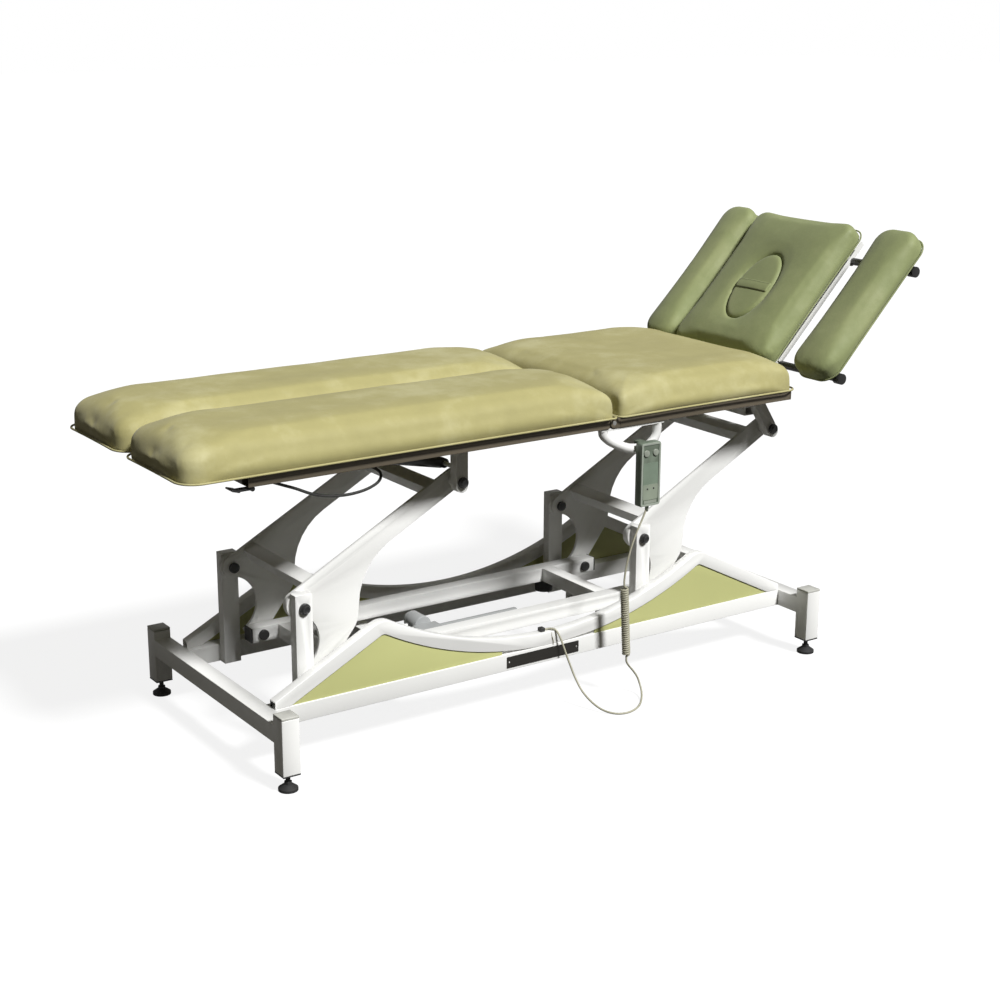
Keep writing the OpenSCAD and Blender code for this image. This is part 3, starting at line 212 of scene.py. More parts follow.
finishes = {
    "white_paint": white, "green_paint": panelGreen, "brown_paint": frameShadeBrown, "grey_paint": greyPaint,
    "black_paint": blackSteel, "black_steel": blackSteel, "bright_steel": steel, "black_rubber": rubber,
    "black_plastic": blackPlastic, "grey_plastic": greyCap, "handset_plastic": casePlastic,
    "button_plastic": buttonPlastic, "cord_plastic": cordPlastic,
    "olive_upholstery": olive, "sage_upholstery": sage,
}
slotOf = {s["node"]: s["material_slot"] for s in frame["record"]["subparts"]}


# ---------------------------------------------------------------- helpers
def newPiece(name, bm, material, body, smooth=True):
    bmesh.ops.recalc_face_normals(bm, faces=bm.faces)
    mesh = bpy.data.meshes.new(name)
    bm.to_mesh(mesh)
    bm.free()
    return dressPiece(name, mesh, material, body, smooth)


def dressPiece(name, mesh, material, body, smooth=True):
    mesh.materials.append(material)
    for p in mesh.polygons:
        p.use_smooth = smooth
    piece = bpy.data.objects.new(name, mesh)
    bpy.context.collection.objects.link(piece)
    if body:
        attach(piece, body)
    return piece


def crisp(piece, width=0.0006, segments=2, angle=35):
    bevel = piece.modifiers.new("edges", "BEVEL")
    bevel.width, bevel.segments, bevel.limit_method = width, segments, "ANGLE"
    bevel.angle_limit = math.radians(angle)
    bevel.harden_normals = True
    return piece


def splinePath(points, steps):
    path = []
    for i in range(len(points) - 1):
        p0, p1 = points[max(i - 1, 0)], points[i]
        p2, p3 = points[i + 1], points[min(i + 2, len(points) - 1)]
        for k in range(steps):
            t = k / steps
            path.append(0.5 * (2 * p1 + (p2 - p0) * t + (2 * p0 - 5 * p1 + 4 * p2 - p3) * t ** 2
                               + (3 * p1 - p0 - 3 * p2 + p3) * t ** 3))
    return path + [points[-1]]


def tubePiece(name, path, radius, material, body=None, rounds=2, caps=True):
    data = bpy.data.curves.new(name + "Line", "CURVE")
    data.dimensions = "3D"
    data.bevel_depth, data.bevel_resolution, data.use_fill_caps = radius, rounds, caps
    line = data.splines.new("POLY")
    line.points.add(len(path) - 1)
    for point, p in zip(line.points, path):
        point.co = (*p, 1)
    source = bpy.data.objects.new(name + "Line", data)
    bpy.context.collection.objects.link(source)
    mesh = bpy.data.meshes.new_from_object(source.evaluated_get(bpy.context.evaluated_depsgraph_get()))
    bpy.data.objects.remove(source)
    mesh.name = name
    mesh.materials.clear()
    return dressPiece(name, mesh, material, body)


# ---------------------------------------------------------------- cords
handsetCord = {"diameter": 4.6, "curlDiameter": 20, "curls": 30, "pitch": 5.4, "lean": -3.5, "stepsPerCurl": 20}
lowerRoute = [
    (-8, -214, 175), (0, -215, 175.2), (8, -221, 176.4), (14, -229.5, 174.6), (18, -234.8, 167), (23, -241, 151),
    (29, -249, 124), (34, -260, 97), (38, -276, 68), (43, -298, 40), (52, -326, 19),
    (64, -352, 7), (82, -374, 2.6), (106, -384, 2.6), (134, -378, 2.6), (160, -362, 2.6),
    (182, -341, 5), (197, -322, 13), (203, -308, 25), (199, -302, 43), (188, -300, 60),
    (176, -300, 74), (168, -300, 86), (167, -300, 94.9)]
upperRoute = [
    (156, -300, 277), (156, -300, 288), (160, -300, 316), (168, -300, 346), (178, -300, 374),
    (190, -300, 400), (202, -300, 422), (211, -300, 440), (215, -300, 450), (215.5, -300, 457)]
coilFoot = Vector((167, -300, 95))
cordRadius = handsetCord["diameter"] / 2000


def coilPath():
    c = handsetCord
    d, r = c["diameter"], (c["curlDiameter"] - c["diameter"]) / 2
    z0 = 2.2 * d
    height = c["curls"] * c["pitch"] + 2 * z0
    line = [Vector((0, 0, 0)), Vector((0, 0, d * 0.5))]
    ramp = 10
    for i in range(ramp + 1):                         # from the axis out to the first curl
        t = i / ramp
        a, w = math.radians(-100 + 100 * t), r * t * t * (3 - 2 * t)
        line.append(Vector((w * math.cos(a), w * math.sin(a), d + (z0 - d) * t)))
    steps = c["curls"] * c["stepsPerCurl"]
    for i in range(1, steps):
        a = 2 * math.pi * i / c["stepsPerCurl"]
        line.append(Vector((r * math.cos(a), r * math.sin(a), z0 + c["pitch"] * i / c["stepsPerCurl"])))
    for i in range(ramp, -1, -1):
        t = i / ramp
        a, w = math.radians(100 - 100 * t), r * t * t * (3 - 2 * t)
        line.append(Vector((w * math.cos(a), w * math.sin(a), height - d - (z0 - d) * t)))
    line += [Vector((0, 0, height - d * 0.5)), Vector((0, 0, height))]
    turn = Matrix.Rotation(math.radians(c["lean"]), 3, "Y")
    return [spot(*(coilFoot + turn @ p)) for p in line]


lowerPath = splinePath([spot(*p) for p in lowerRoute], 4)
split = 17 * 4                                        # the loop leaves the floor here
cordPaths = {"cordFloorLoop": lowerPath[:split + 1], "cordRise": lowerPath[split:], "cordCurls": coilPath(),
             "cordUpper": splinePath([spot(*p) for p in upperRoute], 4)}
cordNodes = {"cordFloorLoop": "cord_lower", "cordRise": "cord_lower", "cordCurls": "cord_coil",
             "cordUpper": "cord_upper"}
cordPairs = {"cordRise": ("base", "head_arm"), "cordCurls": ("head_arm", "top"), "cordUpper": ("top", "handset_case")}
for name, path in cordPaths.items():
    rounds = 2 if name == "cordCurls" else 3
    piece = tubePiece(name, path, cordRadius, cordPlastic, None, rounds)
    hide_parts(cordNodes[name])
    if name in cordPairs:
        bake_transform(piece)
    else:
        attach(piece, "base")
print("cords made")

cableRoute = [
    (-712, -262, 642.5), (-690, -266, 634), (-660, -268, 622), (-625, -269, 606), (-590, -268, 596),
    (-552, -266, 591), (-516, -263, 591), (-484, -258, 595), (-458, -250, 603), (-446, -238, 614),
    (-448, -222, 622), (-458, -204, 627), (-467, -186, 630), (-472, -164, 632), (-474, -142.6, 632)]
cableRadius = 0.0032
cablePath = splinePath([spot(*p) for p in cableRoute], 5)
cable = tubePiece("releaseCable", cablePath, cableRadius, cablePlastic, "leg_near", 3)
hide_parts("release_cable")


# ---------------------------------------------------------------- rigid nodes
rigidShape = {"edge": 0.0012, "edgeAngle": 32, "weld": 0.00001, "flatAngle": 0.3}
edgeWidth = {"handset": 0.0008, "section_hinge_pins": 0.0004}
soft = {"seat_cushion", "leg_cushion_near", "leg_cushion_far", "back_cushion", "face_plug", "rest_pad_near",
        "rest_pad_far", "cord_upper", "cord_coil", "cord_lower", "release_cable"}
for name, node in nodes.items():
    node.data.materials.clear()
    node.data.materials.append(finishes[slotOf[name]])
    if name in soft:
        continue
    for p in node.data.polygons:
        p.use_smooth = True
    weld = node.modifiers.new("weld", "WELD")
    weld.merge_threshold = rigidShape["weld"]
    flat = node.modifiers.new("flat", "DECIMATE")
    flat.decimate_type = "DISSOLVE"
    flat.angle_limit = math.radians(rigidShape["flatAngle"])
    crisp(node, edgeWidth.get(name, rigidShape["edge"]), 2, rigidShape["edgeAngle"])
print("rigid nodes finished")


# ---------------------------------------------------------------- cushions
def padShell(shape):
    a, b, t = shape["length"] / 2000, shape["width"] / 2000, shape["thick"] / 1000
    bm = bmesh.new()
    bmesh.ops.create_cube(bm, size=1)
    bmesh.ops.scale(bm, vec=(2 * a, 2 * b, t), verts=bm.verts)
    bmesh.ops.translate(bm, vec=(0, 0, t / 2), verts=bm.verts)
    for sign, corner in zip((-1, 1), shape["corners"]):   # foot end, then head end
        upright = [e for e in bm.edges if abs(e.verts[0].co.z - e.verts[1].co.z) > t / 2
                   and abs(e.verts[0].co.x - sign * a) < 1e-6 and abs(abs(e.verts[0].co.y) - b) < 1e-6]
        bmesh.ops.bevel(bm, geom=upright, offset=corner / 1000, offset_type="OFFSET", segments=8, profile=0.5,
                        affect="EDGES", material=-1)
    return bm


def voxelSkin(piece, voxel):
    mod = piece.modifiers.new("voxels", "REMESH")
    mod.mode, mod.voxel_size = "VOXEL", voxel
    applyModifiers(piece)


def inflate(piece, shape):
    mesh, voxel, cap, frames = piece.data, shape["voxel"], shape["cap"] / 1000, shape["frames"]
    rest = [v.co.copy() for v in mesh.vertices]
    pinned = piece.vertex_groups.new(name="board")
    pinned.add([i for i, v in enumerate(rest) if v.z < voxel * 1.1], 1.0, "REPLACE")
    cloth = piece.modifiers.new("cover", "CLOTH")
    cloth.settings.quality = 5
    cloth.settings.use_pressure = True
    cloth.settings.uniform_pressure_force = shape["pressure"]
    cloth.settings.effector_weights.gravity = 0
    cloth.settings.tension_stiffness = cloth.settings.compression_stiffness = 12
    cloth.settings.vertex_group_mass = "board"
    cloth.point_cache.frame_start, cloth.point_cache.frame_end = 1, frames
    for f in range(1, frames + 1):
        bpy.context.scene.frame_set(f)
    moved = bpy.data.meshes.new_from_object(piece.evaluated_get(bpy.context.evaluated_depsgraph_get()))
    after = [v.co.copy() for v in moved.vertices]
    bpy.data.meshes.remove(moved)
    piece.modifiers.clear()
    piece.vertex_groups.clear()
    bpy.context.scene.frame_set(1)
    for v, a, b in zip(mesh.vertices, rest, after):
        step = b - a
        if step.length > cap:
            step = step * (cap / step.length)
        v.co = a + step


def finishShape(piece, shape, hole=None):
    voxelSkin(piece, shape["voxel"])
    crownPad(piece, shape, hole)
    inflate(piece, shape)
    smoothMesh(piece, shape["rounds"])
    fitPad(piece, shape)


def applyModifiers(piece):
    mesh = bpy.data.meshes.new_from_object(piece.evaluated_get(bpy.context.evaluated_depsgraph_get()))
    mesh.name = piece.name
    old = piece.data
    piece.modifiers.clear()
    piece.data = mesh
    bpy.data.meshes.remove(old)
    for p in mesh.polygons:
        p.use_smooth = True


def smoothMesh(piece, rounds):
    bm = bmesh.new()
    bm.from_mesh(piece.data)
    low = min(v.co.z for v in bm.verts)
    free = [v for v in bm.verts if v.co.z > low + 0.004]
    for _ in range(rounds):
        bmesh.ops.smooth_vert(bm, verts=free, factor=0.5, use_axis_x=True, use_axis_y=True, use_axis_z=True)
    bm.to_mesh(piece.data)
    bm.free()


# wall is the upright side, roll the rounded edge above it, dome the broad rise to the middle and dip the fall
# to the corners; the cover is blown up by the pressure over some frames, each point by no more than the cap
bigPad = {"voxel": 0.006, "pressure": 3.0, "cap": 6, "frames": 14, "rounds": 3, "dent": 1.1, "pull": 2.0}
smallPad = {"voxel": 0.005, "pressure": 2.5, "cap": 4, "frames": 12, "rounds": 2, "dent": 0.5,
            "dip": 0, "dipReach": 60}
padShape = {
    "seat": {**bigPad, "length": 534, "width": 610, "thick": 84, "corners": (18, 32), "wall": 46, "roll": 28,
             "rollWidth": 28, "dome": 10, "domeWidth": 120, "dip": 11, "dipReach": 140},
    "leg": {**bigPad, "length": 1046, "width": 303.5, "thick": 90, "corners": (46, 14), "wall": 50, "roll": 30,
            "rollWidth": 30, "dome": 10, "domeWidth": 110, "dip": 17, "dipReach": 150},
    "back": {**smallPad, "length": 433, "width": 360, "thick": 58, "corners": (36, 36), "wall": 34, "roll": 14,
             "rollWidth": 15, "dome": 10, "domeWidth": 90, "pull": 3},
    "rest": {**smallPad, "length": 433, "width": 118, "thick": 57, "corners": (46, 46), "wall": 34, "roll": 14,
             "rollWidth": 15, "dome": 9, "domeWidth": 55, "pull": 1.5},
}
padShape["restNear"] = {**padShape["rest"], "width": 134}     # it shows wider in the photo than the far one


def arcRise(s):
    return math.sqrt(1 - (1 - min(max(s, 0), 1)) ** 2)


def sineRise(s):
    return math.sin(math.pi / 2 * min(max(s, 0), 1))


def crownPad(piece, shape, hole=None):
    a, b, t = shape["length"] / 2, shape["width"] / 2, shape["thick"]
    for v in piece.data.vertices:
        x, y, z = v.co * 1000
        dx, dy = a - abs(x), b - abs(y)
        corner = shape["corners"][0 if x < 0 else 1]
        qx, qy = corner - dx, corner - dy
        edge = corner - math.hypot(qx, qy) if qx > 0 and qy > 0 else min(dx, dy)
        rise = (shape["wall"] + shape["roll"] * arcRise(edge / shape["rollWidth"])
                + shape["dome"] * sineRise(dx / shape["domeWidth"]) * sineRise(dy / shape["domeWidth"])
                - shape["dip"] * (1 - sineRise(math.hypot(dx, dy) / shape["dipReach"])))
        if hole:
            reach = math.hypot((x - hole["shift"]) / hole["length"] * 2, y / hole["width"] * 2)
            rise -= hole["roll"] * (1 - arcRise((reach - 1) * hole["width"] / 2 / hole["roll"]))
        v.co.z = z / 1000 * rise / t
    piece.data.update()


def fitPad(piece, shape):
    a, b, t = shape["length"] / 2000, shape["width"] / 2000, shape["thick"] / 1000
    spans = [max(abs(v.co[k]) for v in piece.data.vertices) for k in (0, 1)]
    spans.append(max(v.co.z for v in piece.data.vertices))
    low = min(v.co.z for v in piece.data.vertices)
    for v in piece.data.vertices:
        x, y, z = v.co.x * a / spans[0], v.co.y * b / spans[1], (v.co.z - low) * t / (spans[2] - low)
        soft = shape["dent"] / 1000 * noise.noise(Vector((x * 9, y * 9, z * 9 + a * 31))) * min(1, z / t * 1.6)
        side = shape["pull"] / 1000
        v.co = (x * (1 - side / a * (1 - (y / b) ** 2)), y * (1 - side / b * (1 - (x / a) ** 2)), z + soft)
    piece.data.update()


def settle(piece, place, mirrored=False):
    m = place @ Matrix.Diagonal((1, -1, 1, 1)) if mirrored else place
    piece.data.transform(m)
    if mirrored:
        piece.data.flip_normals()
    piece.data.update()


def padPiece(name, kind, material):
    return newPiece(name, padShell(padShape[kind]), material, None)


def finishPad(piece, body, node):
    sub = piece.modifiers.new("smooth", "SUBSURF")
    sub.levels = sub.render_levels = 1
    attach(piece, body)
    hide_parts(node)


def outlinePath(shape, height, grow=0.0):
    a, b, ring = shape["length"] / 2000 + grow, shape["width"] / 2000 + grow, []
    foot, head = shape["corners"][0] / 1000 + grow, shape["corners"][1] / 1000 + grow
    for sx, sy, corner, a0 in ((1, 1, head, 0), (-1, 1, foot, 90), (-1, -1, foot, 180), (1, -1, head, 270)):
        for i in range(13):
            t = math.radians(a0 + 90 * i / 12)
            x, y = sx * (a - corner) + corner * math.cos(t), sy * (b - corner) + corner * math.sin(t)
            ring.append(Vector((x, y, height)))
    full = []
    for p, q in zip(ring, ring[1:] + ring[:1]):
        count = max(1, int((q - p).length / 0.03))
        full += [p.lerp(q, i / count) for i in range(count)]
    side = shape["pull"] / 1000
    return [Vector((p.x * (1 - side / a * (1 - (p.y / b) ** 2)), p.y * (1 - side / b * (1 - (p.x / a) ** 2)), p.z))
            for p in full]


weltShape = {"height": 0.004, "inset": 0.0005, "bigRadius": 0.0024, "smallRadius": 0.002}


def weltPiece(name, kind, place, radius, material, body):
    ring = [place @ p for p in outlinePath(padShape[kind], weltShape["height"], -weltShape["inset"])]
    return tubePiece(name, ring + [ring[0]], radius, material, body, 2, False)


padMiddle = {"seatX": 398, "legX": -397, "legY": 153.25, "bottom": 668.3}
seatPlace = Matrix.Translation(spot(padMiddle["seatX"], 0, padMiddle["bottom"]))
legPlace = {end: Matrix.Translation(spot(padMiddle["legX"], sign * padMiddle["legY"], padMiddle["bottom"]))
            for end, sign in (("near", -1), ("far", 1))}

seatPad = padPiece("seatPad", "seat", olive)
legPad = padPiece("legPadNear", "leg", olive)
for piece, kind in ((seatPad, "seat"), (legPad, "leg")):
    finishShape(piece, padShape[kind])
legFar = bpy.data.objects.new("legPadFar", legPad.data.copy())
bpy.context.collection.objects.link(legFar)
settle(seatPad, seatPlace)
settle(legPad, legPlace["near"])
settle(legFar, legPlace["far"], True)
finishPad(seatPad, "top", "seat_cushion")
finishPad(legPad, "leg_near", "leg_cushion_near")
finishPad(legFar, "leg_far", "leg_cushion_far")
for name, kind, place, body in (
        ("seatWelt", "seat", seatPlace, "top"), ("legWeltNear", "leg", legPlace["near"], "leg_near"),
        ("legWeltFar", "leg", legPlace["far"], "leg_far")):
    weltPiece(name, kind, place, weltShape["bigRadius"], welt, body)
print("seat and leg cushions made")

backMiddle = {"along": 0.2565, "board": 0.012, "nearRest": -0.323, "farRest": 0.243}    # metres on the back


def onBack(across):
    return backMatrix @ Matrix.Translation((backMiddle["along"], across, backMiddle["board"]))


backPlace = onBack(0)
restPlace = {"near": onBack(backMiddle["nearRest"]), "far": onBack(backMiddle["farRest"])}
faceOpening = {"length": 206, "width": 125, "shift": -25.5, "roll": 7, "fit": 0.4, "band": 26}


def cutOval(piece, length, width, shift, depth):
    bm = bmesh.new()
    bmesh.ops.create_cone(bm, cap_ends=True, segments=96, radius1=0.5, radius2=0.5, depth=depth)
    bmesh.ops.scale(bm, vec=(length, width, 1), verts=bm.verts)
    bmesh.ops.translate(bm, vec=(shift, 0, 0), verts=bm.verts)
    cutter = newPiece("ovalCutter", bm, sage, None)
    cut = piece.modifiers.new("oval", "BOOLEAN")
    cut.operation, cut.object, cut.solver = "DIFFERENCE", cutter, "EXACT"
    applyModifiers(piece)
    bpy.data.objects.remove(cutter)


backPad = padPiece("backPad", "back", sage)
cutOval(backPad, faceOpening["length"] / 1000, faceOpening["width"] / 1000, faceOpening["shift"] / 1000, 0.4)
restPad = padPiece("restPadNear", "restNear", sage)
restFar = padPiece("restPadFar", "rest", sage)
for piece, kind in ((backPad, "back"), (restPad, "restNear"), (restFar, "rest")):
    finishShape(piece, padShape[kind], faceOpening if kind == "back" else None)
settle(backPad, backPlace)
settle(restPad, restPlace["near"])
settle(restFar, restPlace["far"], True)
finishPad(backPad, "back", "back_cushion")
finishPad(restPad, "side_rest_near", "rest_pad_near")
finishPad(restFar, "side_rest_far", "rest_pad_far")
for name, kind, place, body in (
        ("backWelt", "back", backPlace, "back"), ("restWeltNear", "restNear", restPlace["near"], "side_rest_near"),
        ("restWeltFar", "rest", restPlace["far"], "side_rest_far")):
    weltPiece(name, kind, place, weltShape["smallRadius"], sageWelt, body)

# loose plug of the face opening, with its sewn pull band, two stitch lines and a dark line painted as the shade of the
# band's folded edge
f = faceOpening
plugHalf = ((f["length"] / 2 - f["fit"]) / 1000, (f["width"] / 2 - f["fit"]) / 1000)
plugShape = {"blank": 0.056, "wall": 0.0480, "roll": 0.0075, "rollWidth": 0.010, "dome": 0.0025, "voxel": 0.003}
bandShape = {"length": 0.112, "lift": 0.0008, "crown": 0.0014, "crownHalf": 0.0135, "thick": 0.003}
seamAndShadeLineShape = {"half": 0.054, "lift": 0.0012, "steps": 24}
plugShell = bmesh.new()
bmesh.ops.create_cone(plugShell, cap_ends=True, segments=96, radius1=1, radius2=1, depth=plugShape["blank"])
bmesh.ops.scale(plugShell, vec=(*plugHalf, 1), verts=plugShell.verts)
bmesh.ops.translate(plugShell, vec=(0, 0, plugShape["blank"] / 2), verts=plugShell.verts)
plugPad = newPiece("facePlug", plugShell, sage, None)
voxelSkin(plugPad, plugShape["voxel"])


def plugTop(x, y):                                     # height of the plug's face above the back board
    reach = min(math.hypot(x / plugHalf[0], y / plugHalf[1]), 1)
    return (plugShape["wall"] + plugShape["roll"] * arcRise((1 - reach) * plugHalf[1] / plugShape["rollWidth"])
            + plugShape["dome"] * (1 - reach ** 2))


for v in plugPad.data.vertices:
    v.co.z = v.co.z / plugShape["blank"] * plugTop(v.co.x, v.co.y)
smoothMesh(plugPad, 2)
plugPlace = backPlace @ Matrix.Translation((f["shift"] / 1000, 0, 0))
settle(plugPad, plugPlace)
finishPad(plugPad, "plug", "face_plug")
band = bmesh.new()
bmesh.ops.create_grid(band, x_segments=8, y_segments=28, size=0.5)
bmesh.ops.scale(band, vec=(f["band"] / 1000, bandShape["length"], 1), verts=band.verts)
for v in band.verts:
    arch = 1 - (v.co.x / bandShape["crownHalf"]) ** 2
    v.co.z = plugTop(v.co.x, v.co.y) + bandShape["lift"] + bandShape["crown"] * arch
bmesh.ops.solidify(band, geom=band.faces[:], thickness=bandShape["thick"])
bandPiece = newPiece("plugBand", band, sage, None)
settle(bandPiece, plugPlace)
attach(bandPiece, "plug")
# the first, thicker dark line is painted shade along the band's folded edge; the other two are stitching
for k, (x, radius) in enumerate(((-0.0125, 0.0009), (0.0085, 0.0005), (0.0110, 0.0005))):
    rows = [seamAndShadeLineShape["half"] * (2 * i / seamAndShadeLineShape["steps"] - 1) for i in range(seamAndShadeLineShape["steps"] + 1)]
    path = [plugPlace @ Vector((x, y, plugTop(x, y) + seamAndShadeLineShape["lift"])) for y in rows]
    tubePiece(f"plugSeam{k + 1}", path, radius, threadAndFoldShade, "plug", 1)
print("back cushions made")


# ---------------------------------------------------------------- handset
handsetShape = {"x": 216, "y": -300, "z": 457, "width": 56, "height": 148, "depth": 20, "rim": 5}


def roundPlate(width, height, corner, segments=6):
    bm = bmesh.new()
    bmesh.ops.create_grid(bm, x_segments=1, y_segments=1, size=0.5)
    bmesh.ops.scale(bm, vec=(width, height, 1), verts=bm.verts)
    bmesh.ops.bevel(bm, geom=bm.verts[:], offset=corner, offset_type="OFFSET", segments=segments, profile=0.5,
                    affect="VERTICES", material=-1)
    return bm


def standPlate(name, bm, thick, place, material, body):   # drawn in X and Y, stood up facing the near side
    bmesh.ops.solidify(bm, geom=bm.faces[:], thickness=-thick)
    piece = newPiece(name, bm, material, None, False)
    piece.data.transform(Matrix.Translation(spot(*place)) @ Matrix.Rotation(math.radians(90), 4, "X"))
    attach(piece, body)
    return piece


h = handsetShape
front = h["y"] - h["depth"] / 2
rim = roundPlate(h["width"] / 1000 - 0.001, h["height"] / 1000 - 0.001, 0.006)
ringFaces = bmesh.ops.inset_region(rim, faces=rim.faces[:], thickness=h["rim"] / 1000, use_even_offset=True,
                                   use_boundary=True)
inner = [fc for fc in rim.faces if fc not in set(ringFaces["faces"])]
bmesh.ops.delete(rim, geom=inner, context="FACES")
crisp(standPlate("handsetRim", rim, 0.0016, (h["x"], front - 0.2, h["z"] + h["height"] / 2), rimPlastic,
                 "handset_case"), 0.0005)
facePlates = {                                          # metres, and the middle's height above the handset's foot
    "handsetPanel": {"size": (0.043, 0.086, 0.004), "thick": 0.0008, "up": 58, "material": panelPlastic},
    "handsetLowPanel": {"size": (0.043, 0.036, 0.004), "thick": 0.0012, "up": 33, "material": lowPanelPlastic},
    "handsetStrip": {"size": (0.036, 0.007, 0.002), "thick": 0.0008, "up": 10, "material": buttonPlastic},
}
for name, plate in facePlates.items():
    standPlate(name, roundPlate(*plate["size"]), plate["thick"], (h["x"], front - 0.1, h["z"] + plate["up"]),
               plate["material"], "handset_case")
lampShape = {"apart": 18, "up": 41, "out": 1.2, "radius": 0.0021}
lights = bmesh.new()
for half in (-0.5, 0.5):
    centre = spot(h["x"] + half * lampShape["apart"], front - lampShape["out"], h["z"] + lampShape["up"])
    bmesh.ops.create_uvsphere(lights, u_segments=16, v_segments=8, radius=lampShape["radius"],
                              matrix=Matrix.Translation(centre))
newPiece("handsetLamps", lights, blackPlastic, "handset_case")
ribShape = {"count": 15, "first": 18, "pitch": 8, "size": (0.0018, 0.010, 0.0036)}
ribs = bmesh.new()
for i in range(ribShape["count"]):
    centre = spot(h["x"] + h["width"] / 2 - 0.2, h["y"] - 4, h["z"] + ribShape["first"] + i * ribShape["pitch"])
    bmesh.ops.create_cube(ribs, size=1, matrix=Matrix.Translation(centre) @ Matrix.Diagonal((*ribShape["size"], 1)))
crisp(newPiece("handsetRibs", ribs, rimPlastic, "handset_case", False), 0.0004)
glandShape = {"place": (215.3, -300, 450), "lower": 0.0034, "upper": 0.0052, "height": 0.016}
gland = bmesh.new()
bmesh.ops.create_cone(gland, cap_ends=True, segments=24, radius1=glandShape["lower"], radius2=glandShape["upper"],
                      depth=glandShape["height"], matrix=Matrix.Translation(spot(*glandShape["place"])))
newPiece("cordGland", gland, rimPlastic, "handset_case")
print("handset made")


# ---------------------------------------------------------------- bolts and small things
domeShape = {"radius": 10.5, "height": 5, "topShare": 0.72, "inset": 0.30, "lift": 0.35}


def domeRow(name, places, body, outward):
    bm = bmesh.new()
    radius, height = domeShape["radius"] / 1000, domeShape["height"] / 1000
    for place in places:
        middleOf = spot(*place)
        turn = Matrix.Translation(middleOf) @ Matrix.Rotation(math.radians(-90 * outward), 4, "X")
        made = bmesh.ops.create_cone(bm, cap_ends=True, segments=24, radius1=radius,
                                     radius2=radius * domeShape["topShare"], depth=height, matrix=turn)
        top = [fc for fc in {fc for v in made["verts"] for fc in v.link_faces} if len(fc.verts) > 8
               and (fc.calc_center_median().y - middleOf.y) * outward > 0]
        bmesh.ops.inset_region(bm, faces=top, thickness=radius * domeShape["inset"])
        bmesh.ops.translate(bm, vec=(0, -outward * height * domeShape["lift"], 0),
                            verts=list({v for fc in top for v in fc.verts}))
    return crisp(newPiece(name, bm, blackSteel, body), 0.0005)


pivots = {"Low": {"at": ((-608, 335), (298, 335)), "body": "base"},
          "Up": {"at": ((-212.2, 549), (693.8, 549)), "body": "top"}}
for level, row in pivots.items():
    for end, outward in (("Near", -1), ("Far", 1)):
        domeRow(f"pivotDomes{level}{end}", [(x, outward * 199, z) for x, z in row["at"]], row["body"], outward)

plateShape = {"size": (0.201, 0.027, 0.002), "thick": 0.0012, "place": (-19.5, -229.1, 122)}
crisp(standPlate("railPlate", roundPlate(*plateShape["size"]), plateShape["thick"], plateShape["place"], plateMetal,
                 "base"), 0.0004)
rivetShape = {"apart": 94, "radius": 0.0022, "y": -230.2}
rivets = bmesh.new()
for sign in (-1, 1):
    centre = spot(plateShape["place"][0] + sign * rivetShape["apart"], rivetShape["y"], plateShape["place"][2])
    bmesh.ops.create_uvsphere(rivets, u_segments=16, v_segments=8, radius=rivetShape["radius"],
                              matrix=Matrix.Translation(centre) @ Matrix.Diagonal((1, 0.5, 1, 1)))
newPiece("railPlateRivets", rivets, steel, "base")

tieRoute = [(4, -228, 172), (5, -230, 160), (8, -231, 150), (9, -231, 141)]
tubePiece("cordTie", splinePath([spot(*p) for p in tieRoute], 4), 0.0008, cordPlastic, "base", 1)

stripShape = {"place": (0.2565, -0.1818, 0.0065), "size": (0.375, 0.0026, 0.013)}       # edge of the back board
edgeStrip = bmesh.new()
bmesh.ops.create_cube(edgeStrip, size=1, matrix=backMatrix @ Matrix.Translation(stripShape["place"])
                      @ Matrix.Diagonal((*stripShape["size"], 1)))
crisp(newPiece("backEdgeStrip", edgeStrip, white, "back", False), 0.0005)
print("small pieces made")


# ---------------------------------------------------------------- stage and light
stageLook = {
    "floorBounce": (0.045, 0.042, 0.034), "floorSeen": (0.17, 0.17, 0.17), "floorGlow": (0.87, 0.87, 0.87),
    "reflected": 0.3, "ambient": (1.0, 0.95, 0.78), "ambientStrength": 0.065,
    "keyFrom": (0.14, -0.66, 0.735), "keyStrength": 4.7, "keyAngle": 10,
}


def colourNode(tree, kind, colour, strength=None):
    node = tree.nodes.new(kind)
    node.inputs["Color"].default_value = (*colour, 1)
    if strength is not None:
        node.inputs["Strength"].default_value = strength
    return node


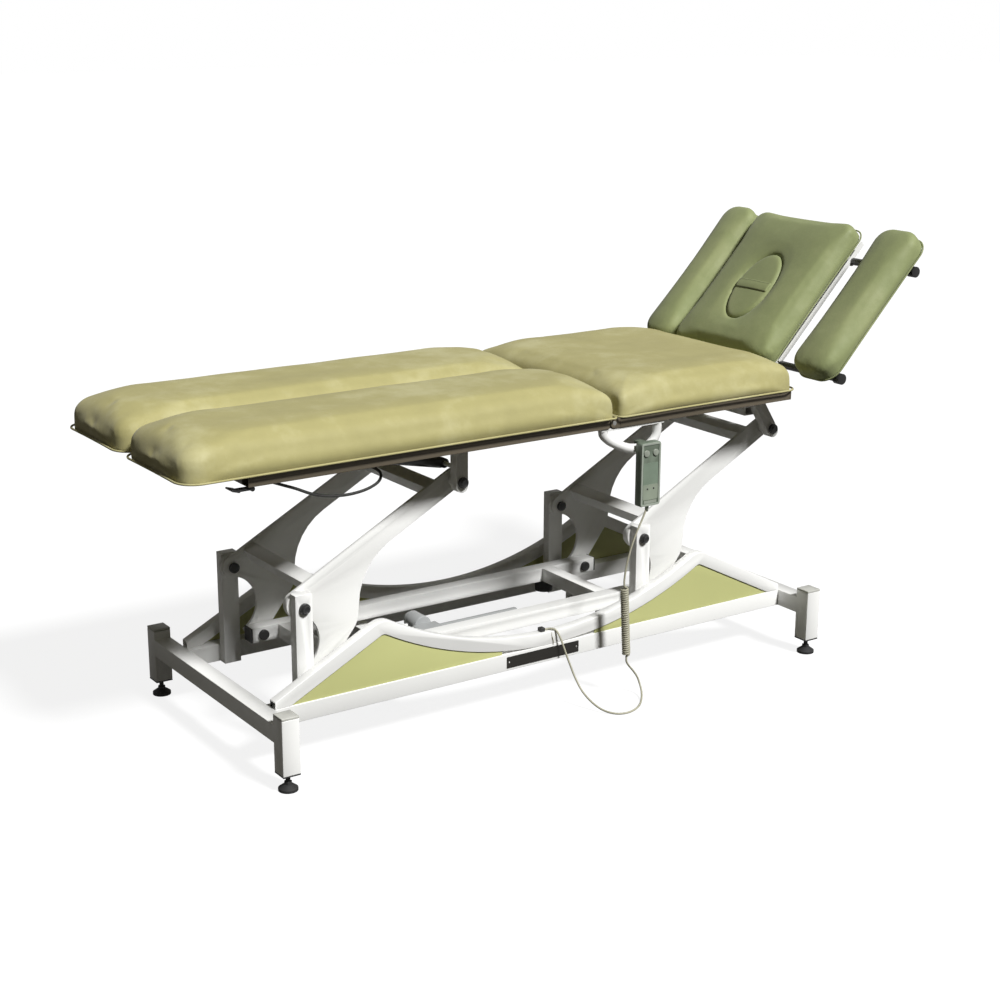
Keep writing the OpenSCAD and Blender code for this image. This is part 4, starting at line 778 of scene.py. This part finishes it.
def pickSeen(tree, hidden, seen, surface):              # the camera sees the second, reflections a part of it
    rays = tree.nodes.new("ShaderNodeLightPath")
    near = tree.nodes.new("ShaderNodeMath")
    near.operation = "MULTIPLY_ADD"
    near.inputs[1].default_value = stageLook["reflected"]
    tree.links.new(rays.outputs["Is Glossy Ray"], near.inputs[0])
    tree.links.new(rays.outputs["Is Camera Ray"], near.inputs[2])
    pick = tree.nodes.new("ShaderNodeMixShader")
    for source, socket in ((near, 0), (hidden, 1), (seen, 2)):
        tree.links.new(source.outputs[0], pick.inputs[socket])
    tree.links.new(pick.outputs[0], surface)


def stageFloor():
    bpy.ops.mesh.primitive_plane_add(size=60, location=(0, 0, 0))
    floor = bpy.context.object
    floor.name = "floor"
    mat = bpy.data.materials.new("floorPaint")
    mat.use_nodes = True
    tree = mat.node_tree
    tree.nodes.clear()
    plain = colourNode(tree, "ShaderNodeBsdfDiffuse", stageLook["floorBounce"])
    both = tree.nodes.new("ShaderNodeAddShader")
    tree.links.new(colourNode(tree, "ShaderNodeBsdfDiffuse", stageLook["floorSeen"]).outputs[0], both.inputs[0])
    tree.links.new(colourNode(tree, "ShaderNodeEmission", stageLook["floorGlow"]).outputs[0], both.inputs[1])
    pickSeen(tree, plain, both, tree.nodes.new("ShaderNodeOutputMaterial").inputs["Surface"])
    floor.data.materials.append(mat)


def studioWorld():
    world = bpy.data.worlds.new("studio")
    bpy.context.scene.world = world
    world.use_nodes = True
    tree = world.node_tree
    tree.nodes.clear()
    soft = colourNode(tree, "ShaderNodeBackground", stageLook["ambient"], stageLook["ambientStrength"])
    pale = colourNode(tree, "ShaderNodeBackground", (1, 1, 1), 1.0)
    pickSeen(tree, soft, pale, tree.nodes.new("ShaderNodeOutputWorld").inputs["Surface"])


def sunLamp(name):
    data = bpy.data.lights.new(name, "SUN")
    data.energy, data.angle = stageLook["keyStrength"], math.radians(stageLook["keyAngle"])
    lamp = bpy.data.objects.new(name, data)
    bpy.context.collection.objects.link(lamp)
    lamp.rotation_mode = "QUATERNION"
    lamp.rotation_quaternion = Vector(stageLook["keyFrom"]).to_track_quat("Z", "Y")


stageFloor()
studioWorld()
sunLamp("keyLight")
bpy.context.scene.view_settings.view_transform = "Standard"
print("stage made")
